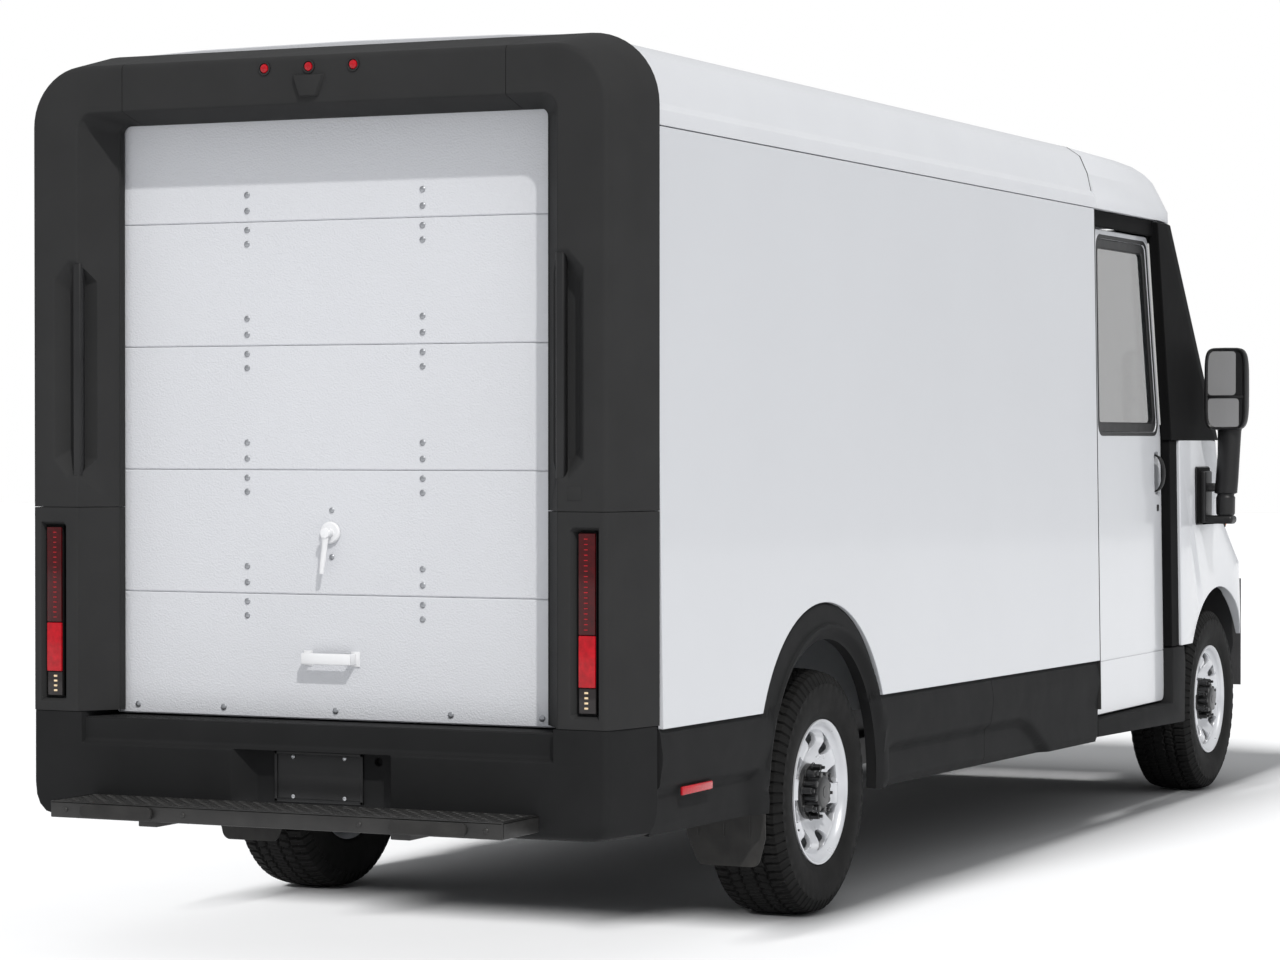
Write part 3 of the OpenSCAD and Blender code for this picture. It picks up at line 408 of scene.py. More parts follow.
def prism_bm(points, axis, a, b):
    """A closed prism of 2-D points along axis 0, 1 or 2, from a to b."""
    def place(p, h):
        q = list(p)
        q.insert(axis, h)
        return q
    bm = bmesh.new()
    low = [bm.verts.new(place(p, a)) for p in points]
    high = [bm.verts.new(place(p, b)) for p in points]
    n = len(points)
    for i in range(n):
        bm.faces.new([low[i], low[(i + 1) % n], high[(i + 1) % n], high[i]])
    bm.faces.new(low)
    bm.faces.new(high[::-1])
    return outward(bm)


def box_bm(a, b, width=0.0, seg=2):
    bm = prism_bm([(a[0], a[1]), (b[0], a[1]), (b[0], b[1]), (a[0], b[1])], 2, a[2], b[2])
    if width:
        bmesh.ops.bevel(bm, geom=bm.edges[:], offset=width, segments=seg, profile=0.5, affect="EDGES")
    return bm


def join(*bms):
    out = bmesh.new()
    for b in bms:
        me = bpy.data.meshes.new("t")
        b.to_mesh(me)
        b.free()
        out.from_mesh(me)
        bpy.data.meshes.remove(me)
    return out


def moved(bm, m):
    bmesh.ops.transform(bm, matrix=m, verts=bm.verts)
    if m.determinant() < 0:
        bmesh.ops.reverse_faces(bm, faces=bm.faces)
    return bm


FLIP = Matrix.Diagonal((-1, 1, 1, 1))


def flipped(bm):
    return moved(bm.copy(), FLIP)


def on_side(bm, side):
    """Takes a kerb-side shape to the side it is for: 1 the kerb side, -1 the road side."""
    return bm if side == 1 else moved(bm, FLIP)


def lathe_bm(profile, n=96, axis=0, closed=False):
    """profile: (along, radius) pairs turned round the X (0) or Y (1) axis."""
    rows = []
    for i in range(n):
        a = 2 * pi * i / n
        c, s = cos(a), sin(a)
        rows.append([(h, r * c, r * s) if axis == 0 else (r * c, h, r * s) for h, r in profile])
    bm, _ = grid_bm(rows, close_u=True, close_v=closed)
    bmesh.ops.remove_doubles(bm, verts=bm.verts, dist=1e-6)
    return outward(bm)


def dome_bm(x, y, z, r, h, n=16):
    """A screw or bolt head that stands out towards +Y."""
    bm = lathe_bm([(0, r), (h * 0.35, r), (h * 0.8, r * 0.72), (h, r * 0.3), (h, 0)], n, 1)
    return moved(bm, Matrix.Translation((x, y, z)))


def cut(bm, cutters):
    """Takes closed cutter meshes away from a closed mesh."""
    def temp(b):
        me = bpy.data.meshes.new("t")
        b.to_mesh(me)
        b.free()
        o = bpy.data.objects.new("t", me)
        in_scene(o)
        return o
    a = temp(bm)
    cs = [temp(c) for c in cutters]
    for c in cs:
        k = a.modifiers.new("b", "BOOLEAN")
        k.operation = "DIFFERENCE"
        k.solver = "EXACT"
        k.object = c
    me = bpy.data.meshes.new_from_object(a.evaluated_get(bpy.context.evaluated_depsgraph_get()))
    out = bmesh.new()
    out.from_mesh(me)
    for o in [a] + cs:
        bpy.data.objects.remove(o)
    bpy.data.meshes.remove(me)
    return out


def piece(name, bm, mat, node=None, body=None, smooth=35.0, flat=9.0):
    """A piece that stands for CAD node(s), or a loose one on a body."""
    group = [node] if isinstance(node, str) else (node or [])
    o = obj_from(name, bm, M[mat], body or (body_of_node[group[0]] if group else "truck"), smooth,
                 flat)
    if group:
        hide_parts(*group)
    return o


# ---------- Rear surround ----------
def portal(hw, top, r, part):
    """Points (x, z) of one ring of the surround on the kerb side, or of the header."""
    if part == "low":
        return [(-hw, z) for z in (0.7235, 1.0, 1.3545)]
    if part == "up":
        pts = [(-hw, lerp(1.3565, top - r, f)) for f in (0, 0.33, 0.66, 1.0)]
        pts += [(-(hw - r + r * cos(a)), top - r + r * sin(a))
                for a in [radians(k * 7.5) for k in range(1, 12)]]
        pts += [(lerp(-(hw - r), -0.6612, f), top) for f in (0, 0.5, 1.0)]
        return pts
    return [(lerp(-0.6592, 0.6592, k / 12), top) for k in range(13)]


def surround_bm(part):
    f, g = 0.020, 0.009
    face, top, r = 0.992, 2.720, 0.185
    rings = [(SIDE_Y, 1.045, 2.770, 0.22)]
    for k in range(6):
        a = radians(k * 18)
        rings.append((REAR - f + f * sin(a), face - f + f * cos(a) + (0.004 if k == 0 else 0),
                      top - f + f * cos(a), r - f + f * cos(a)))
    rings.append((REAR, 0.90, 2.65, 0.12))
    for k in range(5):
        a = radians(k * 17)
        rings.append((REAR - g + g * cos(a), 0.823 + g - g * sin(a), 2.570 + g - g * sin(a),
                      0.05))
    rings += [(REAR - 0.110, 0.750, 2.541, 0.03), (REAR - 0.114, 0.746, 2.5405, 0.03),
              (REAR - 0.114, 0.742, 2.540, 0.025), (3.258, 0.742, 2.540, 0.025),
              (3.258, 0.985, 2.690, 0.15), (SIDE_Y, 0.985, 2.690, 0.15)]
    rows = [[(x, y, z) for x, z in portal(hw, t, rr, part)] for y, hw, t, rr in rings]
    bm, vs = grid_bm(rows, close_u=True)
    cap(bm, [row[0] for row in vs])
    cap(bm, [row[-1] for row in vs][::-1])
    return outward(bm)


def frustum_bm(mouth, floor, y0, y1):
    """A cutter whose outline (x, z) goes from mouth at y0 to floor at y1."""
    bm = bmesh.new()
    a = [bm.verts.new((x, y0, z)) for x, z in mouth]
    b = [bm.verts.new((x, y1, z)) for x, z in floor]
    n = len(a)
    for i in range(n):
        bm.faces.new([a[i], a[(i + 1) % n], b[(i + 1) % n], b[i]])
    bm.faces.new(a)
    bm.faces.new(b[::-1])
    return outward(bm)


def rear_surround():
    pocket_mouth = [(-0.70, 1.446), (-0.862, 1.442), (-0.914, 1.500), (-0.914, 2.066), (-0.862, 2.122),
                    (-0.70, 2.104)]
    pocket_floor = [(-0.70, 1.505), (-0.845, 1.505), (-0.874, 1.540), (-0.874, 2.020), (-0.845, 2.055),
                    (-0.70, 2.055)]
    up = cut(surround_bm("up"), [frustum_bm(pocket_mouth, pocket_floor, REAR + 0.004, REAR - 0.056)])
    up = bevelled(up, 0.005, 2, 22,
                  lambda e: all(v.co.y > REAR - 0.06 and v.co.x > -0.93 and v.co.x < -0.70 and
                                                  1.43 < v.co.z < 2.13 for v in e.verts) and
                  any(v.co.y > REAR - 0.004 or v.co.x < -0.83 for v in e.verts))
    lamp = [(-0.961, 0.752), (-0.961, 1.311), (-0.878, 1.311), (-0.866, 1.300), (-0.866, 0.764),
            (-0.878, 0.752)]
    deep = [(-0.953, 0.764), (-0.953, 1.299), (-0.886, 1.299), (-0.882, 1.296), (-0.882, 0.768),
            (-0.886, 0.764)]
    low = cut(surround_bm("low"), [frustum_bm(lamp, deep, REAR + 0.004, REAR - 0.030)])
    low = bevelled(low, 0.0035, 2, 22,
                   lambda e: all(v.co.y > REAR - 0.003 and -0.965 < v.co.x < -0.86 for v in e.verts))
    pillars = join(up, flipped(up), low, flipped(low))
    # The surround pieces take the lighter charcoal copy, which is painted light.
    piece("surround_pillars", pillars, "surround", "rear_pillars", smooth=30)
    head = surround_bm("head")
    hood = frustum_bm([(-0.060, 2.662), (0.060, 2.662), (0.034, 2.590), (-0.034, 2.590)],
                      [(-0.048, 2.655), (0.048, 2.655), (0.027, 2.596),
                       (-0.027, 2.596)], REAR - 0.005, REAR + 0.0135)
    eye = moved(lathe_bm([(0, 0.017), (0.004, 0.017), (0.004, 0.011), (0.001, 0.009), (0.001, 0)], 24, 1),
                Matrix.Translation((0, REAR + 0.0085, 2.622)))
    piece("surround_header", join(head, bevelled(hood, 0.003, 2, 20)), "surround", "rear_header", smooth=30)
    piece("camera_eye", eye, "gloss_black")
    # small square cover on the kerb-side pillar
    badge = box_bm((-0.905, REAR - 0.002, 1.388), (-0.860, REAR + 0.0012, 1.428), 0.001)
    piece("jack_cover", badge, "surround")


def grab_bars():
    foot, back, face = REAR - 0.030, REAR - 0.014, REAR - 0.006
    bar = prism_bm([(-0.848, foot), (-0.848, back), (-0.843, face), (-0.821, face), (-0.816, back),
                    (-0.816, foot)],
                   2, 1.452, 2.110)
    bevelled(bar, 0.0025, 2, 20)
    piece("grab_bar_pair", join(flipped(bar), bar), "satin_black", "grab_bars")


def rear_lamps():
    x0, x1, y = -0.945, -0.891, REAR - 0.009
    parts = {"red": [], "bright_red": [], "smoke": [], "seam": [], "dash": []}
    for side in (1, -1):
        def add(key, bm):
            parts[key].append(on_side(bm, side))
        add("seam", box_bm((x0 - 0.004, REAR - 0.0295, 0.766), (x1 + 0.004, y - 0.006, 1.297), 0.002))
        add("red", box_bm((x0, y - 0.010, 0.998), (x1, y, 1.293), 0.003))
        add("bright_red", box_bm((x0, y - 0.010, 0.845), (x1, y + 0.0005, 0.996), 0.003))
        add("smoke", box_bm((x0, y - 0.012, 0.770), (x1, y - 0.004, 0.843), 0.002))
        for k in range(18):
            z = 1.012 + k * 0.0155
            add("bright_red", box_bm((x0 + 0.024, y - 0.002, z), (x0 + 0.036, y + 0.0005, z + 0.0026),
                                     0.0006))
        for k in range(4):
            z = 0.782 + k * 0.015
            add("dash", box_bm((x0 + 0.024, y - 0.005, z), (x0 + 0.036, y - 0.002, z + 0.006), 0.001))
    for key, bms in parts.items():
        bm = join(*bms)
        node = "tail_lights" if key == "red" else None
        piece("tail_lamp_" + key, bm, key, node)


def marker_lamps():
    base, dome = [], []
    for x in (-0.153, 0, 0.153):
        base.append(moved(lathe_bm([(-0.002, 0.020), (0.004, 0.020), (0.0055, 0.0165), (0.002, 0.0145),
                                    (0.002, 0)], 28, 1), Matrix.Translation((x, REAR, 2.683))))
        dome.append(moved(lathe_bm([(0.001, 0.0145), (0.0055, 0.012), (0.0075, 0.007), (0.0082, 0)], 24, 1),
                          Matrix.Translation((x, REAR, 2.683))))
    bars = []
    for s in (1, -1):
        b = box_bm((-HALF - 0.001 + 0.008, 2.772, 0.503), (-HALF + 0.016, 2.998, 0.529), 0.004, 3)
        bars.append(on_side(b, s))
    piece("marker_bezels", join(*base), "satin_black")
    piece("marker_lenses", join(*dome, *bars), "bright_red", "marker_lights")


rear_surround()
grab_bars()
rear_lamps()
marker_lamps()


# ---------- Roll-up door ----------
def rear_door():
    def section(k):
        z0 = DECK_Z + (k - 1) * SECTION_H + 0.0006
        z1 = DECK_Z + k * SECTION_H - 0.0006
        pts = [(DOOR_Y - 0.030, z0), (DOOR_Y - 0.004, z0), (DOOR_Y, z0 + 0.004), (DOOR_Y, z1 - 0.003),
               (DOOR_Y - 0.003, z1), (DOOR_Y - 0.030, z1)]
        return prism_bm(pts, 0, -0.775, 0.775)
    piece("door_sections_low", join(*[section(k) for k in (1, 2, 3)]), "door", "lower_door_sections",
          smooth=30)
    piece("door_section_4_skin", section(4), "door", "door_section_4", smooth=30)
    piece("door_section_5_skin", section(5), "door", "door_section_5", smooth=30)
    bolts = []
    for s in (1.092, 1.472, 1.852):
        rows = [s - 0.067, s - 0.024, s + 0.035, s + 0.084]
        for z in rows:
            if s == 1.852 and z > s:
                continue
            for x in (-0.305, 0.305):
                bolts.append(dome_bm(x, DOOR_Y, z, 0.0095, 0.005))
    for x in (-0.705, -0.400, -0.005, 0.390, 0.700):
        bolts.append(dome_bm(x, DOOR_Y, 0.740, 0.010, 0.005))
    lz = DECK_Z + 1.5 * SECTION_H
    for z in (lz - 0.074, lz + 0.068):
        bolts.append(dome_bm(0.008, DOOR_Y, z, 0.0085, 0.005))
    pull = [box_bm((-0.090, DOOR_Y, 0.876), (-0.060, DOOR_Y + 0.004, 0.922), 0.0015),
            box_bm((0.075, DOOR_Y, 0.876), (0.105, DOOR_Y + 0.004, 0.922), 0.0015),
            box_bm((-0.078, DOOR_Y + 0.002, 0.882), (-0.068, DOOR_Y + 0.041, 0.916), 0.003),
            box_bm((0.083, DOOR_Y + 0.002, 0.882), (0.093, DOOR_Y + 0.041, 0.916), 0.003),
            box_bm((-0.078, DOOR_Y + 0.034, 0.882), (0.093, DOOR_Y + 0.0415, 0.916), 0.003)]
    piece("door_pull", join(*pull), "hardware", "door_hardware")
    piece("door_bolts", join(*bolts), "bolt", body="rear_door")
    upper = [dome_bm(x, DOOR_Y, z, 0.0095, 0.005) for x in (-0.305, 0.305) for z in (1.887, 1.936, 2.165,
            2.208)]
    piece("door_bolts_4", join(*upper), "bolt", body="rear_door_4")
    upper = [dome_bm(x, DOOR_Y, z, 0.0095, 0.005) for x in (-0.305, 0.305) for z in (2.267, 2.316)]
    piece("door_bolts_5", join(*upper), "bolt", body="rear_door_5")
    knob = lathe_bm([(0.0006, 0.033), (0.008, 0.034), (0.013, 0.030), (0.014, 0.016), (0.030, 0.0145),
                     (0.036, 0.017), (0.042, 0.015), (0.044, 0.0)], 40, 1)
    lever = []
    n = 9
    for i in range(n):
        t = i / (n - 1)
        w = lerp(0.014, 0.0095, step(t * 2)) * (1 - 0.25 * step(t * 3 - 2))
        y = 0.037 - 0.006 * step(t * 2)
        z = 0.014 - 0.139 * t
        lever.append([(cos(a) * w, y + sin(a) * 0.005, z) for a in
                      [radians(q * 30) for q in range(12)]])
    bm = tube_bm(lever)
    moved(bm, Matrix.Rotation(radians(-8), 4, "Y"))
    piece("latch_lever", moved(join(knob, bm), Matrix.Translation((0.010, DOOR_Y, lz))), "hardware",
          "latch_handle")


rear_door()


# ---------- Side claddings ----------
def sill_z(y):
    return DECK_Z - 0.036 * (SIDE_Y - y) / 4.3


def clad_low(y):
    return 0.370 + 0.025 * (y - AXLE_Y + 1.0) / 2.4


def cladding_bm():
    ay, az, ar = 1.820, 0.430, 0.480
    fy, fz, fr = 1.868, 0.448, 0.583
    front, back = -1.100, SIDE_Y - 0.001
    low, top = [], []
    na, nb, nc = 30, 60, 96
    meet = 0.7005
    up_a = asin((meet - fz) / fr)
    up_b = asin((sill_z(1.34) - fz) / fr)
    y_a = fy + fr * cos(up_a)
    for i in range(na):
        t = i / na
        y = lerp(back, ay + ar, t)
        low.append((y, clad_low(y)))
        yt = lerp(back, y_a, t)
        top.append((yt, lerp(sill_z(yt) - 0.002, meet, step(t * 3 - 2))))
    for i in range(6):
        t = i / 6
        low.append((ay + ar, lerp(clad_low(ay + ar), az, t)))
        a = lerp(up_a, up_a + 0.10, t)
        top.append((fy + fr * cos(a), fz + fr * sin(a)))
    for i in range(nb):
        t = i / nb
        a = pi * t
        low.append((ay + ar * cos(a), az + ar * sin(a)))
        b = lerp(up_a + 0.10, pi - up_b - 0.10, t)
        top.append((fy + fr * cos(b), fz + fr * sin(b)))
    for i in range(6):
        t = i / 6
        low.append((ay - ar, lerp(az, clad_low(ay - ar), t)))
        a = lerp(pi - up_b - 0.10, pi - up_b, t)
        top.append((fy + fr * cos(a), fz + fr * sin(a)))
    y_b = fy - fr * cos(up_b)
    ys = [lerp(ay - ar, front, i / nc) for i in range(nc + 1)]
    seam_y = 0.20
    k = min(range(len(ys)), key=lambda i: abs(ys[i] - seam_y))
    for q, dy in ((-1, 0.0025), (0, 0.0), (1, -0.0025)):
        ys[k + q] = seam_y + dy
    for y in ys:
        t = (ay - ar - y) / (ay - ar - front)
        low.append((y, clad_low(y)))
        yt = y + (y_b - (ay - ar)) * (1 - step(t * 6))
        top.append((yt, sill_z(yt) - 0.002))

    def depth(y, z):
        r = hypot(y - ay, max(z - az, 0.0))
        inner = 0.026 * (1 - step((r - ar) / 0.045))
        outer = 0.0
        fr_d = hypot(y - fy, z - fz)
        if z > sill_z(y) - 0.004:
            outer = 0.007 * step((fr_d - fr + 0.016) / 0.016)
        edge = 0.006 * step((z - sill_z(y) + 0.014) / 0.014) if z <= sill_z(y) else outer
        fall = step((-0.10 - y) / 0.62) if y < 0 else 0.0
        crease = lerp(sill_z(y) - 0.165, clad_low(y) - 0.06, fall)
        a = (r - (ar + 0.085)) / 0.045
        b = (crease - z) / 0.032
        h = max(0.25 - abs(a - b), 0.0) / 0.25
        soft = min(a, b) - h * h * 0.0625
        rec = 0.027 * step(soft)
        crown = 0.009 * step(abs(z - (sill_z(y) - 0.085)) / 0.085) if r > ar + 0.05 else 0.0
        foot = 0.010 * step((clad_low(y) + 0.03 - z) / 0.03) if r > ar + 0.05 else 0.0
        return inner + edge + rec + crown + foot

    nv = 30
    rows = []
    for (yl, zl), (yt, zt) in zip(low, top):
        row = [(-HALF + 0.062, yl, zl + 0.001), ]
        for j in range(nv + 1):
            s = j / nv
            y, z = lerp(yl, yt, s), lerp(zl, zt, s)
            d = depth(y, z)
            if abs(y - seam_y) < 0.0004:
                d += 0.004
            row.append((-HALF + d, y, z))
        row.append((-HALF + 0.030, yt, zt + 0.0005))
        rows.append(row)
    bm, vs = grid_bm(rows)
    for ring in (vs[0], vs[-1]):
        cap(bm, ring)
    return outward(bm)


def door_step_bm():
    """The moulded step under a cab side door, with its ribbed top and front upright."""
    x0, x1 = -HALF + 0.006, -HALF + 0.100
    pts = [(-2.340, 0.343), (-1.102, 0.368), (-1.102, 0.436), (-2.153, 0.436), (-2.163, 0.672),
           (-2.330, 0.672),
           (-2.350, 0.60)]
    body = prism_bm(pts, 0, x0, x1)
    body = bevelled(body, 0.006, 2, 30)
    ribs = [box_bm((x0 + 0.012 + k * 0.016, -2.14, 0.4345), (x0 + 0.020 + k * 0.016, -1.115, 0.4378), 0.001)
            for k in range(4)]
    return join(body, *ribs)


def claddings():
    right = join(cladding_bm(), door_step_bm())
    # The claddings take the darker charcoal copy, which is painted shade.
    piece("sill_cladding_pair", join(flipped(right), right), "clad", "sill_claddings", smooth=38)


claddings()

# ---------- Wheels ----------
def tyre_bm():
    """A tyre round the X axis, outer side at -X, with ribs, zigzag grooves and shoulder blocks."""
    R, W = 0.405, 0.138
    side = [(-0.114, 0.2345), (-0.122, 0.240), (-0.1265, 0.252), (-0.1275, 0.262), (-0.1305, 0.270),
            (-0.1355, 0.290), (-0.1378, 0.312), (-0.1378, 0.330), (-0.1358, 0.345), (-0.1368, 0.348),
            (-0.1368, 0.356), (-0.1335, 0.362), (-0.1285, 0.372), (-0.1225, 0.382)]
    tread = []
    nw = 40
    for j in range(nw + 1):
        w = lerp(-0.1165, 0.1165, j / nw)
        tread.append((w, R - 0.0135 * abs(w / 0.1165) ** 3.2))
    prof = side + tread + [(-x, r) for x, r in side[::-1]]
    n = 576
    rows = []
    for i in range(n):
        a = 2 * pi * i / n
        c, s = cos(a), sin(a)
        row = []
        for k, (x, r) in enumerate(prof):
            d = 0.0
            if len(side) - 3 <= k < len(prof) - len(side) + 3:
                pitch = (i * 72 / n) % 1.0
                zig = 0.0035 * (1 if pitch < 0.5 else -1)
                outer = abs(abs(x) - 0.067 - zig * (1 if x > 0 else -1)) < 0.0042
                if outer or abs(abs(x) - 0.026 + zig) < 0.0038:
                    d = 0.0085
                elif abs(x) > 0.072:
                    slant = (pitch + abs(x) * 2.5) % 1.0
                    d = 0.008 if slant < 0.24 else (0.002 if 0.58 < slant < 0.66 else 0.0)
                elif abs(x) > 0.030:
                    slant = (pitch + abs(x) * 9) % 1.0
                    d = 0.006 if slant < 0.15 else (0.002 if 0.5 < slant < 0.58 else 0.0)
                else:
                    d = 0.003 if (pitch * 2 + x * 12) % 1.0 < 0.16 else 0.0
            elif k in (9, 10, len(prof) - 10, len(prof) - 11):
                d = 0.0012 if (i * 96 // n) % 2 else 0.0
            row.append((x * (1 - (0.01 if d else 0)), (r - d) * c, (r - d) * s))
        rows.append(row)
    bm, _ = grid_bm(rows, close_u=True)
    return outward(bm)


def rim_bm():
    w = 0.138
    prof = [(-w + 0.062, 0.060), (-w + 0.060, 0.098), (-w + 0.056, 0.118), (-w + 0.044, 0.140),
            (-w + 0.030, 0.158), (-w + 0.024, 0.172), (-w + 0.026, 0.186), (-w + 0.034, 0.198),
            (-w + 0.040, 0.206), (-w + 0.036, 0.214), (-w + 0.024, 0.221), (-w + 0.014, 0.227),
            (-w + 0.0105, 0.233), (-w + 0.0115, 0.2385), (-w + 0.016, 0.2395), (-w + 0.021, 0.236),
            (-w + 0.026, 0.231), (-w + 0.046, 0.228), (-w + 0.060, 0.222), (w - 0.050, 0.222),
            (w - 0.036, 0.230), (w - 0.023, 0.2385), (w - 0.020, 0.236), (w - 0.026, 0.226),
            (w - 0.046, 0.214), (-w + 0.080, 0.212), (-w + 0.058, 0.200), (-w + 0.044, 0.186),
            (-w + 0.042, 0.172), (-w + 0.050, 0.158), (-w + 0.066, 0.140), (-w + 0.074, 0.118),
            (-w + 0.078, 0.098), (-w + 0.078, 0.060)]
    bm = lathe_bm(prof, 96, 0, closed=True)
    holes = []
    for i in range(8):
        a = (i + 0.5) * pi / 4
        pts = []
        for k in range(20):
            q = 2 * pi * k / 20
            u, v = cos(q), sin(q)
            u = copysign(abs(u) ** 0.75, u)
            v = copysign(abs(v) ** 0.75, v)
            r = 0.170 + 0.033 * v
            t = (0.034 + 0.009 * v) * u
            pts.append((r * cos(a) - t * sin(a), r * sin(a) + t * cos(a)))
        holes.append(prism_bm(pts, 0, -w - 0.02, -w + 0.110))
    bm = cut(bm, holes)
    return bevelled(bm, 0.0022, 2, 40, lambda e: all(0.13 < hypot(v.co.y, v.co.z) < 0.21 and v.co.x < -0.06
                                                     for v in e.verts))


def hub_bm():
    w = 0.138
    body = lathe_bm([(-w + 0.076, 0.041), (-w + 0.076, 0.092), (-w + 0.050, 0.092), (-w + 0.046, 0.088),
                     (-w + 0.046, 0.060), (-w + 0.040, 0.057), (-w + 0.006, 0.055), (-w + 0.000, 0.050),
                     (-w - 0.002, 0.046), (-w - 0.0025, 0.020), (-w - 0.004, 0.018), (-w - 0.004,
                             0.0)], 64, 0)
    back = lathe_bm([(-w + 0.076, 0.041), (w - 0.036, 0.041), (w - 0.034, 0.097), (w - 0.060, 0.097),
                     (w - 0.062, 0.080), (-w + 0.076, 0.080)], 64, 0)
    parts = [body, back]
    for i in range(8):
        a = (i + 0.5) * pi / 4
        cy, cz = 0.058 * cos(a), 0.058 * sin(a)
        lobe = lathe_bm([(-w + 0.048, 0.0), (-w + 0.048, 0.013), (-w + 0.006, 0.012), (-w + 0.003, 0.009),
                         (-w + 0.003, 0.0)], 14, 0)
        parts.append(moved(lobe, Matrix.Translation((0, cy, cz))))
        a = i * pi / 4
        cy, cz = 0.080 * cos(a), 0.080 * sin(a)
        flange = lathe_bm([(-w + 0.046, 0.016), (-w + 0.043, 0.016), (-w + 0.041, 0.0145)], 24, 0)
        nut = lathe_bm([(-w + 0.043, 0.0125), (-w + 0.016, 0.0118), (-w + 0.014, 0.0095), (-w + 0.014, 0.006),
                        (-w + 0.004, 0.006), (-w + 0.003, 0.004), (-w + 0.003, 0.0)], 6, 0)
        parts += [moved(flange, Matrix.Translation((0, cy, cz))), moved(nut, Matrix.Translation((0, cy, cz)))]
    return join(*parts)


def valve_bm():
    v = lathe_bm([(-0.138 + 0.022, 0.0), (-0.138 + 0.022, 0.0035), (-0.138 + 0.050, 0.0045),
                  (-0.138 + 0.070, 0.0055), (-0.138 + 0.076, 0.0055)], 10, 0)
    return moved(v, Matrix.Translation((0, 0.150, -0.130)))


def wheels():
    tyre, rim, hub = tyre_bm(), rim_bm(), hub_bm()
    valve = valve_bm()
    for name, y in (("front", FRONT_Y), ("rear", AXLE_Y)):
        for side, s in (("right", 1), ("left", -1)):
            m = Matrix.Translation((-0.882 * s, y, AXLE_Z)) @ (Matrix.Identity(4) if s == 1 else FLIP)
            tag = name + "_" + side
            turn = Matrix.Rotation(0.35 if name == "front" else 0.12, 4, "X")
            piece("tyre_tread_" + tag, moved(tyre.copy(), m), "tyre", "tyre_" + tag, smooth=38)
            r = piece("wheel_disc_" + tag, moved(rim.copy(), m @ turn), "rim", "rim_" + tag, smooth=40)
            h = piece("wheel_hub_" + tag, moved(hub.copy(), m @ turn), "hub", body="wheel_" + tag,
                      smooth=35)
            piece("tyre_valve_" + tag, moved(valve.copy(), m @ turn), "satin_black", body="wheel_" + tag)
    for b in (tyre, rim, hub, valve):
        b.free()


wheels()


# ---------- Bumper, step and number plate holder ----------
def chevrons(x0, x1, y0, y1, z, pitch=0.030, h=0.0016, size=0.010):
    """Raised diamond lugs in two directions on a flat top."""
    ny = max(int((y1 - y0) / pitch), 1)
    nx = int((x1 - x0) / pitch)
    bm = bmesh.new()
    for i in range(nx):
        for j in range(ny):
            cx = x0 + (i + 0.5) * (x1 - x0) / nx
            cy = y0 + (j + 0.5) * (y1 - y0) / ny
            a = radians(40 if (i + j) % 2 else -40)
            u = Vector((cos(a), sin(a)))
            v = Vector((-u.y, u.x))
            base = [u * size, v * size * 0.32, -u * size, -v * size * 0.32]
            low = [bm.verts.new((cx + p.x, cy + p.y, z - 0.0004)) for p in base]
            high = [bm.verts.new((cx + p.x * 0.72, cy + p.y * 0.72, z + h)) for p in base]
            for k in range(4):
                bm.faces.new([low[k], low[(k + 1) % 4], high[(k + 1) % 4], high[k]])
            bm.faces.new(high)
    return outward(bm)


